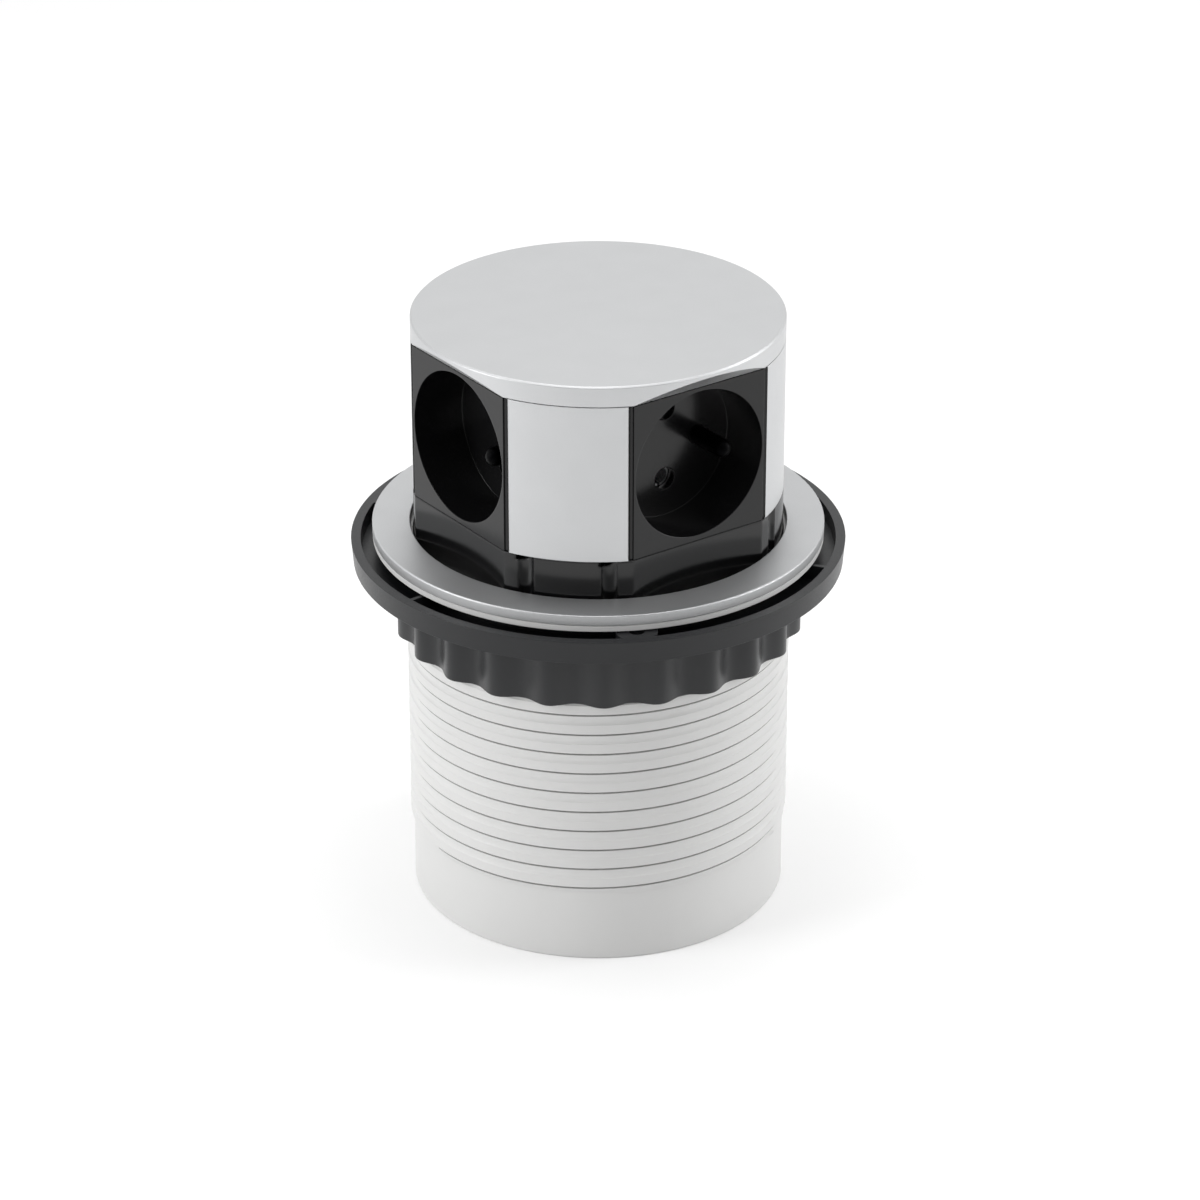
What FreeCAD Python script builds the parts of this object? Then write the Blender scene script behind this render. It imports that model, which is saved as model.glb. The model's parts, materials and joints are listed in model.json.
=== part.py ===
import FreeCAD, Part
import math
import os
import Sketcher
from FreeCAD import Placement, Rotation, Vector

# Pop-up socket tower for a desk cut-out, shown raised. Millimetres, +Z up. The origin is the centre of the
# sleeve's bottom edge. The sockets face -Y, +X, +Y and -X.

doc = FreeCAD.newDocument("power_module")
sheet = doc.addObject("Spreadsheet::Sheet", "Sizes")


class Size:
    """A size that carries its number and its formula in the sheet's words."""

    def __init__(self, value, text):
        self.value = float(value)
        self.text = text

    def __add__(self, other):
        other = as_size(other)
        return Size(self.value + other.value, f"({self.text} + {other.text})")

    def __sub__(self, other):
        other = as_size(other)
        return Size(self.value - other.value, f"({self.text} - {other.text})")

    def __mul__(self, other):
        other = as_size(other)
        return Size(self.value * other.value, f"({self.text} * {other.text})")

    def __truediv__(self, other):
        other = as_size(other)
        return Size(self.value / other.value, f"({self.text} / {other.text})")

    def __neg__(self):
        return Size(-self.value, f"(0 - {self.text})")


def as_size(number):
    return number if isinstance(number, Size) else Size(number, repr(float(number)))


def root(size):
    return Size(math.sqrt(size.value), f"sqrt({size.text})")


def smallest(one, other):
    return Size(min(one.value, other.value), f"min({one.text}; {other.text})")


def tangent(size):
    return Size(math.tan(math.radians(size.value)), f"tan({size.text})")


def sine(size):
    return Size(math.sin(math.radians(size.value)), f"sin({size.text})")


def cosine(size):
    return Size(math.cos(math.radians(size.value)), f"cos({size.text})")


rows = []


def cell(alias, value):
    """One driving size: a row of the sheet with its name, its plain number and its alias."""
    rows.append(alias)
    row = len(rows)
    sheet.set(f"A{row}", alias)
    sheet.set(f"B{row}", str(value))
    sheet.setAlias(f"B{row}", alias)
    return Size(value, f"Sizes.{alias}")


# Heights
tower_clearance = cell("tower_clearance", 13.8)  # foot of the pressed tower above the sleeve's bottom edge
tower_rise = cell("tower_rise", 56.5)           # cap above the trim ring when raised
tower_press = cell("tower_press", 1.0)          # over-travel that works the latch
base_height = cell("base_height", 41.1)         # foot of the tower to the socket faces
cap_thick = cell("cap_thick", 5.3)
foot_height = cell("foot_height", 8.0)
ring_thick = cell("ring_thick", 2.6)
collar_thick = cell("collar_thick", 1.8)

# Round sizes
cap_radius = cell("cap_radius", 47.2)
slide_gap = cell("slide_gap", 0.3)              # tower to sleeve
sleeve_wall = cell("sleeve_wall", 0.95)         # at the plain band
thread_height = cell("thread_height", 0.65)     # thread's crest above the plain band
thread_start = cell("thread_start", 19.95)      # plain band below the thread
thread_pitch = cell("thread_pitch", 5.5)
thread_phase = cell("thread_phase", 17.9)       # height of the first crest's lower edge, towards +X
groove_wide = cell("groove_wide", 2.85)         # thread's groove at the crest
groove_root = cell("groove_root", 2.45)         # thread's groove at its bottom
groove_cut = cell("groove_cut", 0.8)            # thread's groove below the crest
groove_flank = cell("groove_flank", 0.15)       # slant of the groove's upper wall
thread_clear = cell("thread_clear", 1.5)        # thread's end to the collar
collar_width = cell("collar_width", 8.6)        # thread's crest to the collar's edge
ring_overhang = cell("ring_overhang", 0.1)
ring_bore_gap = cell("ring_bore_gap", 0.9)      # cap to the ring's bore
ring_edge = cell("ring_edge", 0.35)
ring_lip = cell("ring_lip", 0.3)

# Cap, strips and posts
cap_bevel = cell("cap_bevel", 0.4)
face_side = cell("face_side", 0.45)             # recess to the face's side edges
panel_margin = cell("panel_margin", 1.35)       # recess to the face's upper and lower edges, on average
undercut_angle = cell("undercut_angle", 43.1)
strip_thick = cell("strip_thick", 1.5)
strip_gap = cell("strip_gap", 0.15)
groove_width = cell("groove_width", 1.2)        # dark groove between a face and a strip
groove_depth = cell("groove_depth", 2.5)
flange_lap = cell("flange_lap", 0.15)           # flange past the strip's edge
seam_gap = cell("seam_gap", 0.2)                # strips and face plates to the cap and to the base
flute_radius = cell("flute_radius", 2.6)        # base's corner flutes
flute_depth = cell("flute_depth", 1.2)
flute_angle = cell("flute_angle", 12.8)         # each side of the corner's middle
pocket_radius = cell("pocket_radius", 1.55)     # half-round pocket at the head of a flute
pocket_depth = cell("pocket_depth", 2.6)
tie_inset = cell("tie_inset", 6.2)              # long screws, in from the cap's edge
tie_radius = cell("tie_radius", 1.5)
screw_clearance = cell("screw_clearance", 0.2)
tie_bite = cell("tie_bite", 3.8)
tie_head_radius = cell("tie_head_radius", 2.7)
tie_head_height = cell("tie_head_height", 1.6)
tie_end_gap = cell("tie_end_gap", 0.1)
tie_slot_reach = cell("tie_slot_reach", 2.0)
tie_slot_half = cell("tie_slot_half", 0.4)
tie_slot_depth = cell("tie_slot_depth", 0.7)

# Sockets
recess_radius = cell("recess_radius", 19.45)
recess_depth = cell("recess_depth", 14.4)
socket_lift = cell("socket_lift", 0.2)          # recess centre above the middle of the face
well_wall = cell("well_wall", 0.9)
floor_thick = cell("floor_thick", 1.6)
flange_thick = cell("flange_thick", 1.4)
pin_spacing = cell("pin_spacing", 19.0)
pin_hole_radius = cell("pin_hole_radius", 3.0)
chamber_half = cell("chamber_half", 4.4)
chamber_end = cell("chamber_end", 7.6)
chamber_wall = cell("chamber_wall", 1.4)
earth_offset = cell("earth_offset", 10.0)
earth_radius = cell("earth_radius", 2.4)
earth_reach = cell("earth_reach", 12.5)
contact_radius = cell("contact_radius", 2.85)
contact_wall = cell("contact_wall", 0.5)
contact_inset = cell("contact_inset", 1.0)
contact_slit = cell("contact_slit", 0.6)
contact_slit_length = cell("contact_slit_length", 8.0)
tail_radius = cell("tail_radius", 1.1)
tail_gap = cell("tail_gap", 0.1)

# Busbars and terminals
busbar_half = cell("busbar_half", 6.0)
busbar_bore = cell("busbar_bore", 3.2)
band_gap = cell("band_gap", 5.3)                # earth band to the recess floors, at least
band_inset = cell("band_inset", 1.1)            # earth band to the strips' edge line, at least
band_thick = cell("band_thick", 0.8)
band_height = cell("band_height", 6.0)
riser_width = cell("riser_width", 3.0)
riser_thick = cell("riser_thick", 1.0)
riser_spacing = cell("riser_spacing", 4.5)
riser_lift = cell("riser_lift", 0.6)            # legs above the base's top plate
terminal_offset = cell("terminal_offset", 9.0)  # earth band to the block's outer side
terminal_depth = cell("terminal_depth", 12.0)
terminal_length = cell("terminal_length", 29.0)
terminal_end = cell("terminal_end", 8.0)
terminal_height = cell("terminal_height", 15.0)
terminal_way_lift = cell("terminal_way_lift", 4.5)
terminal_screw_lift = cell("terminal_screw_lift", 10.5)
terminal_screw_radius = cell("terminal_screw_radius", 1.6)
terminal_screw_length = cell("terminal_screw_length", 2.5)
slot_inset = cell("slot_inset", 3.5)            # block's outer side to the slot over it
slot_margin = cell("slot_margin", 0.5)

# Tower base and floor
base_wall = cell("base_wall", 2.2)
top_plate = cell("top_plate", 3.0)
cup_radius = cell("cup_radius", 11.5)
cup_wall = cell("cup_wall", 1.5)
cup_depth = cell("cup_depth", 32.5)
tower_floor_thick = cell("tower_floor_thick", 2.5)
floor_gap = cell("floor_gap", 0.2)
boss_radius = cell("boss_radius", 3.3)
cord_hole_radius = cell("cord_hole_radius", 6.5)
post_inset = cell("post_inset", 0.5)            # strip's edge to the corner post
post_gap = cell("post_gap", 0.2)                # flange to the corner post
latch_room_end = cell("latch_room_end", 0.8)    # latch to the floor's opening
latch_room_side = cell("latch_room_side", 1.5)

# Sleeve fittings
stop_gap = cell("stop_gap", 0.3)
shoe_clearance = cell("shoe_clearance", 0.9)    # cap to the shoes when the tower is pressed
shoe_inset = cell("shoe_inset", 2.6)
shoe_gap = cell("shoe_gap", 0.5)
cover_recess = cell("cover_recess", 3.0)
cover_thick = cell("cover_thick", 3.0)
cover_gap = cell("cover_gap", 0.25)
ledge_width = cell("ledge_width", 4.75)
ledge_thick = cell("ledge_thick", 3.0)
cover_screw_radius = cell("cover_screw_radius", 1.3)
cover_head_radius = cell("cover_head_radius", 1.9)
cover_head_height = cell("cover_head_height", 1.6)
cover_screw_length = cell("cover_screw_length", 6.5)
post_radius = cell("post_radius", 6.5)
post_bore = cell("post_bore", 4.5)
post_height = cell("post_height", 30.0)
post_end = cell("post_end", 2.0)
rib_thick = cell("rib_thick", 1.6)
rib_height = cell("rib_height", 1.8)
rib_end = cell("rib_end", 6.15)                 # rib to the sleeve's bore
cover_rib_phase = cell("cover_rib_phase", 50.0)
cover_hub_radius = cell("cover_hub_radius", 8.5)

# Cord gland
gland_inset = cell("gland_inset", 18.8)         # gland's axis, in from the cap's edge
gland_angle = cell("gland_angle", -39.3)
gland_bore = cell("gland_bore", 4.4)
gland_radius = cell("gland_radius", 6.2)
gland_flange_radius = cell("gland_flange_radius", 9.0)
gland_flange_thick = cell("gland_flange_thick", 2.0)
gland_length = cell("gland_length", 6.6)
gland_seat_gap = cell("gland_seat_gap", 0.5)
gland_nut_width = cell("gland_nut_width", 16.0)
gland_nut_thick = cell("gland_nut_thick", 3.5)

# Lift spring
spring_radius = cell("spring_radius", 9.0)
spring_wire = cell("spring_wire", 0.8)
spring_turns = cell("spring_turns", 9.0)

# Latch
latch_inset = cell("latch_inset", 15.8)         # latch's middle, in from the flat
claw_pivot_x = cell("claw_pivot_x", 8.5)
claw_pivot_lift = cell("claw_pivot_lift", 6.0)  # pivot above the cover
claw_pin_radius = cell("claw_pin_radius", 1.25)
claw_running_gap = cell("claw_running_gap", 0.05)
claw_width = cell("claw_width", 6.0)
claw_swing = cell("claw_swing", 18.0)
claw_side_gap = cell("claw_side_gap", 1.0)
claw_body = cell("claw_body", 5.4)
claw_nose = cell("claw_nose", 2.8)
claw_heel = cell("claw_heel", 2.2)
claw_nose_height = cell("claw_nose_height", 3.2)
claw_nose_end = cell("claw_nose_end", 1.2)
claw_neck = cell("claw_neck", 1.0)
claw_slant = cell("claw_slant", 1.0)
claw_gap = cell("claw_gap", 0.2)                # nose over the striker when latched
latch_plate_half = cell("latch_plate_half", 15.0)
latch_plate_thick = cell("latch_plate_thick", 2.6)
cheek_thick = cell("cheek_thick", 1.5)
cheek_half = cell("cheek_half", 12.0)
cheek_height = cell("cheek_height", 10.0)
striker_half = cell("striker_half", 4.5)
striker_head = cell("striker_head", 3.0)
striker_neck_half = cell("striker_neck_half", 2.0)
striker_width = cell("striker_width", 5.0)
bracket_half = cell("bracket_half", 18.0)
bracket_thick = cell("bracket_thick", 2.0)
bracket_height = cell("bracket_height", 14.5)
bracket_width = cell("bracket_width", 10.0)

# Clamp nut
nut_gap = cell("nut_gap", 0.25)                 # nut's thread to the sleeve's crest
nut_top_gap = cell("nut_top_gap", 0.2)          # ribs to the collar when screwed fully up
dish_width = cell("dish_width", 11.3)           # hub to the rim's edge
rim_width = cell("rim_width", 2.5)
rim_draft = cell("rim_draft", 0.5)
rim_slope = cell("rim_slope", 0.2)              # of the rim's inner wall
rim_height = cell("rim_height", 5.9)
dish_floor = cell("dish_floor", 2.0)
hub_length = cell("hub_length", 17.8)
hub_wall = cell("hub_wall", 2.65)
hub_bevel = cell("hub_bevel", 0.3)              # at the hub's lower edge
hub_neck_wall = cell("hub_neck_wall", 1.7)
scallop_depth = cell("scallop_depth", 1.9)
scallop_radius = cell("scallop_radius", 8.0)
lobe_count = cell("lobe_count", 23)
lobe_phase = cell("lobe_phase", 9.1)            # direction of a valley, degrees from +X
lobe_round = cell("lobe_round", 2.5)
rib_count = cell("rib_count", 3)
rib_phase = cell("rib_phase", 64.6)
nut_rib_thick = cell("nut_rib_thick", 1.1)
screw_boss_phase = cell("screw_boss_phase", 3.9)
screw_boss_bite = cell("screw_boss_bite", 1.7)  # boss into the rim's wall
screw_boss_radius = cell("screw_boss_radius", 5.2)
screw_boss_bore = cell("screw_boss_bore", 2.0)

# Working allowances
weld = cell("weld", 0.5)                        # overlap of shapes that are joined
overshoot = cell("overshoot", 1.0)              # cutter past the face that it opens

doc.recompute()

# Levels and radii that follow from the driving sizes
panel_height = (recess_radius + panel_margin) * 2
deck_level = tower_clearance + base_height + panel_height + cap_thick + tower_press
cap_top = deck_level + tower_rise
cap_seam = cap_top - cap_thick
panel_bottom = cap_seam - panel_height
socket_level = panel_bottom + panel_height / 2 + socket_lift
tower_bottom = panel_bottom - base_height
foot_top = tower_bottom + foot_height
floor_top = tower_bottom + tower_floor_thick
sleeve_bore = cap_radius + slide_gap
sleeve_radius = sleeve_bore + sleeve_wall
thread_radius = sleeve_radius + thread_height
collar_radius = thread_radius + collar_width
ring_radius = collar_radius + ring_overhang
collar_top = deck_level - ring_thick
collar_bottom = collar_top - collar_thick
cover_top = cover_recess + cover_thick
ledge_top = cover_top + ledge_thick
strip_inner = cap_radius - strip_thick
face_half = recess_radius + face_side
face_edge = face_half + groove_width
flat_distance = root(cap_radius * cap_radius - face_half * face_half)
flange_front = flat_distance - groove_depth
recess_floor = flat_distance - recess_depth
floor_back = recess_floor - floor_thick
band_half = smallest(floor_back - band_gap, face_edge - band_inset)
terminal_reach = band_half + terminal_offset
tie_reach = (cap_radius - tie_inset) / math.sqrt(2)
latch_y = flat_distance - latch_inset
gland_x = cosine(gland_angle) * (cap_radius - gland_inset)
gland_y = sine(gland_angle) * (cap_radius - gland_inset)
shoe_top = cap_seam - tower_rise - tower_press - shoe_clearance
shoe_half = face_edge - shoe_inset
cover_screw_place = (sleeve_bore - ledge_width / 2) / math.sqrt(2)
upper_pin = socket_level + pin_spacing / 2
lower_pin = socket_level - pin_spacing / 2

QUARTERS = ((1, 1), (1, -1), (-1, 1), (-1, -1))
TURN = {"Z": Rotation(), "Y": Rotation(Vector(1, 0, 0), -90), "X": Rotation(Vector(0, 1, 0), 90)}
pieces = []


def bind(obj, **formulas):
    """Binds properties of an object to formulas of the sheet, with a dot written as two underscores."""
    for path, size in formulas.items():
        obj.setExpression(path.replace("__", "."), as_size(size).text)


def place(obj, x=0, y=0, z=0):
    bind(obj, Placement__Base__x=x, Placement__Base__y=y, Placement__Base__z=z)
    return obj


def box(name, low, size):
    """A box from its low corner and its size, each along X, Y and Z."""
    obj = doc.addObject("Part::Box", name)
    bind(obj, Length=size[0], Width=size[1], Height=size[2])
    return place(obj, *low)


def span_box(name, x, y, z):
    """A box between two planes along each axis."""
    spans = [(as_size(low), as_size(high)) for low, high in (x, y, z)]
    return box(name, [low for low, high in spans], [high - low for low, high in spans])


def rod(name, radius, length, at, along="Z"):
    """A round bar that starts at a point and runs along the positive X, Y or Z."""
    obj = doc.addObject("Part::Cylinder", name)
    obj.Placement = Placement(Vector(), TURN[along])
    bind(obj, Radius=radius, Height=length)
    return place(obj, *at)


def cut(name, base, *tools):
    obj = doc.addObject("Part::Cut", name)
    obj.Base = base
    obj.Tool = tools[0] if len(tools) == 1 else fuse(name + "_tools", *tools)
    return obj


def fuse(name, *shapes):
    obj = doc.addObject("Part::MultiFuse", name)
    obj.Shapes = list(shapes)
    return obj


def common(name, *shapes):
    obj = doc.addObject("Part::MultiCommon", name)
    obj.Shapes = list(shapes)
    return obj


def group(name, shapes):
    obj = doc.addObject("Part::Compound", name)
    obj.Links = list(shapes)
    return obj


def piece(obj, label, turn=0.0):
    """Registers a sub-part under its own label, turned about Z to its own side."""
    obj.Label = label
    if turn:
        obj.Placement = Placement(Vector(), Rotation(Vector(0, 0, 1), turn))
    pieces.append(obj)
    return obj


def plane_of(body, role):
    return next(item for item in body.Origin.OriginFeatures if item.Role == role)


def sketch(body, name, role):
    made = body.newObject("Sketcher::SketchObject", name)
    made.AttachmentSupport = [(plane_of(body, role), "")]
    made.MapMode = "FlatFace"
    return made


def hold(made, geometry, point, x, y):
    """Holds one point of a sketch at its two distances from the origin."""
    for kind, size in (("DistanceX", as_size(x)), ("DistanceY", as_size(y))):
        at = made.addConstraint(Sketcher.Constraint(kind, -1, 1, geometry, point, size.value))
        made.setExpression(f"Constraints[{at}]", size.text)


def outline(made, corners):
    """A closed outline of straight edges through corners given as pairs of sizes."""
    points = [Vector(as_size(x).value, as_size(y).value, 0) for x, y in corners]
    count = len(points)
    for number in range(count):
        made.addGeometry(Part.LineSegment(points[number], points[(number + 1) % count]), False)
    for number in range(count):
        made.addConstraint(Sketcher.Constraint("Coincident", number, 2, (number + 1) % count, 1))
    for number, (x, y) in enumerate(corners):
        hold(made, number, 1, x, y)


def circle(made, radius, x=None, y=None):
    """A circle on the origin, or held at a point."""
    size = as_size(radius)
    middle = Vector(x.value if x else 0, y.value if y else 0, 0)
    number = made.addGeometry(Part.Circle(middle, Vector(0, 0, 1), size.value), False)
    at = made.addConstraint(Sketcher.Constraint("Radius", number, size.value))
    made.setExpression(f"Constraints[{at}]", size.text)
    if x is None:
        made.addConstraint(Sketcher.Constraint("Coincident", number, 3, -1, 1))
    else:
        hold(made, number, 3, x, y)


def revolved(name, corners):
    """A body turned about Z from corners given as radius and height."""
    body = doc.addObject("PartDesign::Body", name)
    profile = sketch(body, name + "_profile", "XZ_Plane")
    outline(profile, corners)
    turned = body.newObject("PartDesign::Revolution", name + "_turned")
    turned.Profile = profile
    turned.ReferenceAxis = (profile, ["V_Axis"])
    turned.Angle = 360
    body.Tip = turned
    return body


def around(body, name, features, count):
    """Repeats features of a body evenly about Z."""
    pattern = body.newObject("PartDesign::PolarPattern", name)
    pattern.Originals = features
    pattern.Axis = (plane_of(body, "Z_Axis"), [""])
    pattern.Angle = 360
    if isinstance(count, Size):
        pattern.setExpression("Occurrences", count.text)
    else:
        pattern.Occurrences = count
    body.Tip = pattern
    return pattern


def edges_where(shape, test):
    return [f"Edge{number + 1}" for number, edge in enumerate(shape.Edges) if test(edge)]


def is_rim(edge, radius, level):
    """True for a circular edge about Z at a radius and a height."""
    curve = edge.Curve
    return (isinstance(curve, Part.Circle) and abs(curve.Radius - radius) < 0.01
            and abs(edge.CenterOfMass.z - level) < 0.01)


def dress(body, kind, name, base, edges, size):
    """A fillet or a chamfer on named edges of the last feature."""
    feature = body.newObject(f"PartDesign::{kind}", name)
    feature.Base = (base, edges)
    feature.setExpression("Radius" if kind == "Fillet" else "Size", as_size(size).text)
    body.Tip = feature
    return feature


def make_cap():
    """The disc on top, with a slanted undercut over each face and four blind screw holes."""
    body = doc.addObject("PartDesign::Body", "Cap")
    disc_sketch = sketch(body, "Cap_disc_sketch", "XY_Plane")
    circle(disc_sketch, cap_radius)
    disc = body.newObject("PartDesign::Pad", "Cap_disc")
    disc.Profile = disc_sketch
    bind(disc, Length=cap_thick)
    doc.recompute()
    rim = edges_where(disc.Shape, lambda edge: is_rim(edge, cap_radius.value, cap_thick.value))
    dress(body, "Chamfer", "Cap_bevel", disc, rim, cap_bevel)

    outside = cap_radius + overshoot * 2
    wedge_sketch = sketch(body, "Cap_undercut_sketch", "YZ_Plane")
    rise = (outside - flat_distance) * tangent(undercut_angle)
    outline(wedge_sketch, [(-flat_distance, -overshoot), (-flat_distance, 0.0), (-outside, rise),
                           (-outside, -overshoot)])
    wedge = body.newObject("PartDesign::Pocket", "Cap_undercut")
    wedge.Profile = wedge_sketch
    wedge.SideType = "Symmetric"
    bind(wedge, Length=cap_radius * 2)

    hole_sketch = sketch(body, "Cap_pilot_sketch", "XY_Plane")
    circle(hole_sketch, tie_radius, tie_reach, -tie_reach)
    hole = body.newObject("PartDesign::Pocket", "Cap_pilot")
    hole.Profile = hole_sketch
    hole.Reversed = True
    bind(hole, Length=tie_bite)
    around(body, "Cap_around", [wedge, hole], 4)
    bind(body, Placement__Base__z=cap_seam)
    return piece(body, "cap")


def make_strip(number):
    """A curved strip beside the -Y face, from the base to the seam under the cap."""
    name = f"Strip{number}"
    shell = cut(name + "_shell", rod(name + "_outer", cap_radius, panel_height, (0, 0, panel_bottom)),
                rod(name + "_inner", strip_inner, panel_height + overshoot * 2,
                    (0, 0, panel_bottom - overshoot)))
    beyond = cap_radius + overshoot
    corner = span_box(name + "_corner", (face_edge, beyond), (-beyond, -face_edge),
                      (panel_bottom, cap_seam - seam_gap))
    return piece(common(name, shell, corner), f"column_strip_{number}", 90.0 * (number - 1))


def make_flute(name, side):
    """Cutters for one flute down the base's corner and the half-round pocket at its head."""
    direction = flute_angle * side - 45.0
    reach = cap_radius + flute_radius - flute_depth
    flute = rod(name + "_run", flute_radius, panel_bottom - foot_top + overshoot,
                (cosine(direction) * reach, sine(direction) * reach, foot_top))
    pocket = doc.addObject("Part::Cylinder", name + "_pocket")
    pocket.Placement = Placement(Vector(), Rotation(Vector(0, 0, 1), direction.value)
                                 * Rotation(Vector(0, 1, 0), 90))
    pocket.setExpression("Placement.Rotation.Yaw", direction.text)
    bind(pocket, Radius=pocket_radius, Height=pocket_depth + overshoot)
    inner = cap_radius - pocket_depth
    place(pocket, cosine(direction) * inner, sine(direction) * inner, panel_bottom)
    return [flute, pocket]


def make_insert(number):
    """A socket moulding for the -Y face: face plate, well, floor and two contact chambers."""
    name = f"Insert{number}"
    face = span_box(name + "_face", (-face_half, face_half), (-flat_distance, -flange_front + weld),
                    (panel_bottom + seam_gap, cap_seam - seam_gap))
    flange_half = face_edge + flange_lap
    flange = span_box(name + "_flange", (-flange_half, flange_half),
                      (-flange_front, -flange_front + flange_thick), (panel_bottom, cap_seam))
    well = rod(name + "_well", recess_radius + well_wall, flange_front - floor_back - weld,
               (0, -flange_front + weld, socket_level), "Y")
    clip = span_box(name + "_clip", (-flange_half, flange_half), (-flat_distance, -chamber_end),
                    (panel_bottom, cap_seam))
    chambers = [span_box(f"{name}_chamber{side}", (-chamber_half, chamber_half),
                         (-floor_back - weld, -chamber_end), (level - chamber_half, level + chamber_half))
                for side, level in (("_upper", upper_pin), ("_lower", lower_pin))]
    solid = fuse(name + "_solid", face, flange, common(name + "_shell", well, clip), *chambers)

    recess = rod(name + "_recess", recess_radius, recess_depth + overshoot,
                 (0, -flat_distance - overshoot, socket_level), "Y")
    hole_length = recess_floor - chamber_end - chamber_wall + overshoot
    tools = [recess]
    for side, level in (("_upper", upper_pin), ("_lower", lower_pin)):
        tools.append(rod(f"{name}_hole{side}", pin_hole_radius, hole_length,
                         (0, -recess_floor - overshoot, level), "Y"))
        tools.append(rod(f"{name}_tail{side}", tail_radius + tail_gap, chamber_wall + weld * 2,
                         (0, -chamber_end - chamber_wall - weld, level), "Y"))
    tools.append(rod(name + "_earth", earth_radius, floor_thick + overshoot * 2,
                     (earth_offset, -recess_floor - overshoot, socket_level), "Y"))
    return piece(cut(name, solid, *tools), f"socket_insert_{number}", 90.0 * (number - 1))


def make_earth_pin(number):
    """The round-ended pin that stands in the recess and runs back to the earth band."""
    name = f"Earth{number}"
    tip = recess_floor + earth_reach
    length = tip - band_half - earth_radius
    shank = rod(name + "_shank", earth_radius, length, (earth_offset, -tip + earth_radius, socket_level), "Y")
    dome = doc.addObject("Part::Sphere", name + "_dome")
    bind(dome, Radius=earth_radius)
    place(dome, earth_offset, -tip + earth_radius, socket_level)
    return piece(fuse(name, shank, dome), f"earth_pin_{number}", 90.0 * (number - 1))


def make_contact(label, number, level):
    """A split sleeve behind a pin hole, with a tail that reaches the busbar."""
    name = f"{label}{number}".title().replace("_", "")
    front = floor_back - contact_inset
    back = chamber_end + chamber_wall + contact_inset / 2
    barrel = rod(name + "_barrel", contact_radius, front - back, (0, -front, level), "Y")
    bore = rod(name + "_bore", contact_radius - contact_wall, front - back - contact_wall + overshoot,
               (0, -front - overshoot, level), "Y")
    slit = span_box(name + "_slit", (-contact_slit / 2, contact_slit / 2),
                    (-front - overshoot, -front + contact_slit_length),
                    (level - contact_radius, level + contact_radius))
    tail = rod(name + "_tail", tail_radius, back - busbar_half + contact_wall / 2,
               (0, -back - contact_wall / 2, level), "Y")
    made = fuse(name, cut(name + "_split", barrel, bore, slit), tail)
    return piece(made, f"{label}_{number}", 90.0 * (number - 1))


def make_busbars():
    """Square plates where the tails meet, and the band that joins the earth pins."""
    for label, level in (("line_busbar", upper_pin), ("neutral_busbar", lower_pin)):
        plate = span_box(label + "_plate", (-busbar_half, busbar_half), (-busbar_half, busbar_half),
                         (level - tail_radius, level + tail_radius))
        if label == "neutral_busbar":
            bore = rod(label + "_bore", busbar_bore, (tail_radius + overshoot) * 2,
                       (0, 0, level - tail_radius - overshoot))
            plate = cut(label + "_cut", plate, bore)
        piece(plate, label)
    low, high = socket_level - band_height / 2, socket_level + band_height / 2
    outer = span_box("Band_outer", (-band_half, band_half), (-band_half, band_half), (low, high))
    inside = band_half - band_thick
    inner = span_box("Band_inner", (-inside, inside), (-inside, inside), (low - overshoot, high + overshoot))
    piece(cut("Band", outer, inner), "earth_band")


def make_risers():
    """Strips from the busbars over the top plate and down to the terminal block."""
    leg_low = panel_bottom + riser_lift
    leg_high = leg_low + riser_thick
    block_top = floor_top + terminal_height
    far = -terminal_reach + terminal_depth / 2
    for label, x, y, top in (("line_riser", as_size(0), as_size(0), upper_pin - tail_radius),
                             ("neutral_riser", -riser_spacing, riser_spacing, lower_pin - tail_radius)):
        wide = (y - riser_width / 2, y + riser_width / 2)
        upright = span_box(label + "_upright", (x - riser_thick / 2, x + riser_thick / 2), wide,
                           (leg_low, top))
        leg = span_box(label + "_leg", (far, x + riser_thick / 2), wide, (leg_low, leg_high))
        drop = span_box(label + "_drop", (far, far + riser_thick), wide, (block_top, leg_high))
        piece(fuse(label + "_strip", upright, leg, drop), label)
    inside = band_half - band_thick
    piece(span_box("Earth_riser_strip", (-band_half, -inside), (-inside, -inside + riser_width),
                   (block_top, socket_level - band_height / 2)), "earth_riser")


def make_terminals():
    """A three-way terminal block on the tower floor, with a screw for each strip."""
    near = -terminal_reach + terminal_depth
    low_y = terminal_end - terminal_length
    block = span_box("Terminal_body", (-terminal_reach, near), (low_y, terminal_end),
                     (floor_top, floor_top + terminal_height))
    inside = band_half - band_thick
    ways = [as_size(0), riser_spacing, -inside + riser_width / 2]
    holes, screws = [], []
    for number, y in enumerate(ways):
        holes.append(rod(f"Terminal_way{number}", terminal_screw_radius, terminal_depth / 2,
                         (near - terminal_depth / 2 + overshoot, y, floor_top + terminal_way_lift), "X"))
        at = (near - terminal_screw_length, y, floor_top + terminal_screw_lift)
        holes.append(rod(f"Terminal_hole{number}", terminal_screw_radius, terminal_screw_length + overshoot,
                         at, "X"))
        screws.append(rod(f"Terminal_screw{number}", terminal_screw_radius, terminal_screw_length, at, "X"))
    piece(cut("Terminal", block, *holes), "terminal_block")
    piece(group("Terminal_screws", screws), "terminal_screws")


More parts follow.
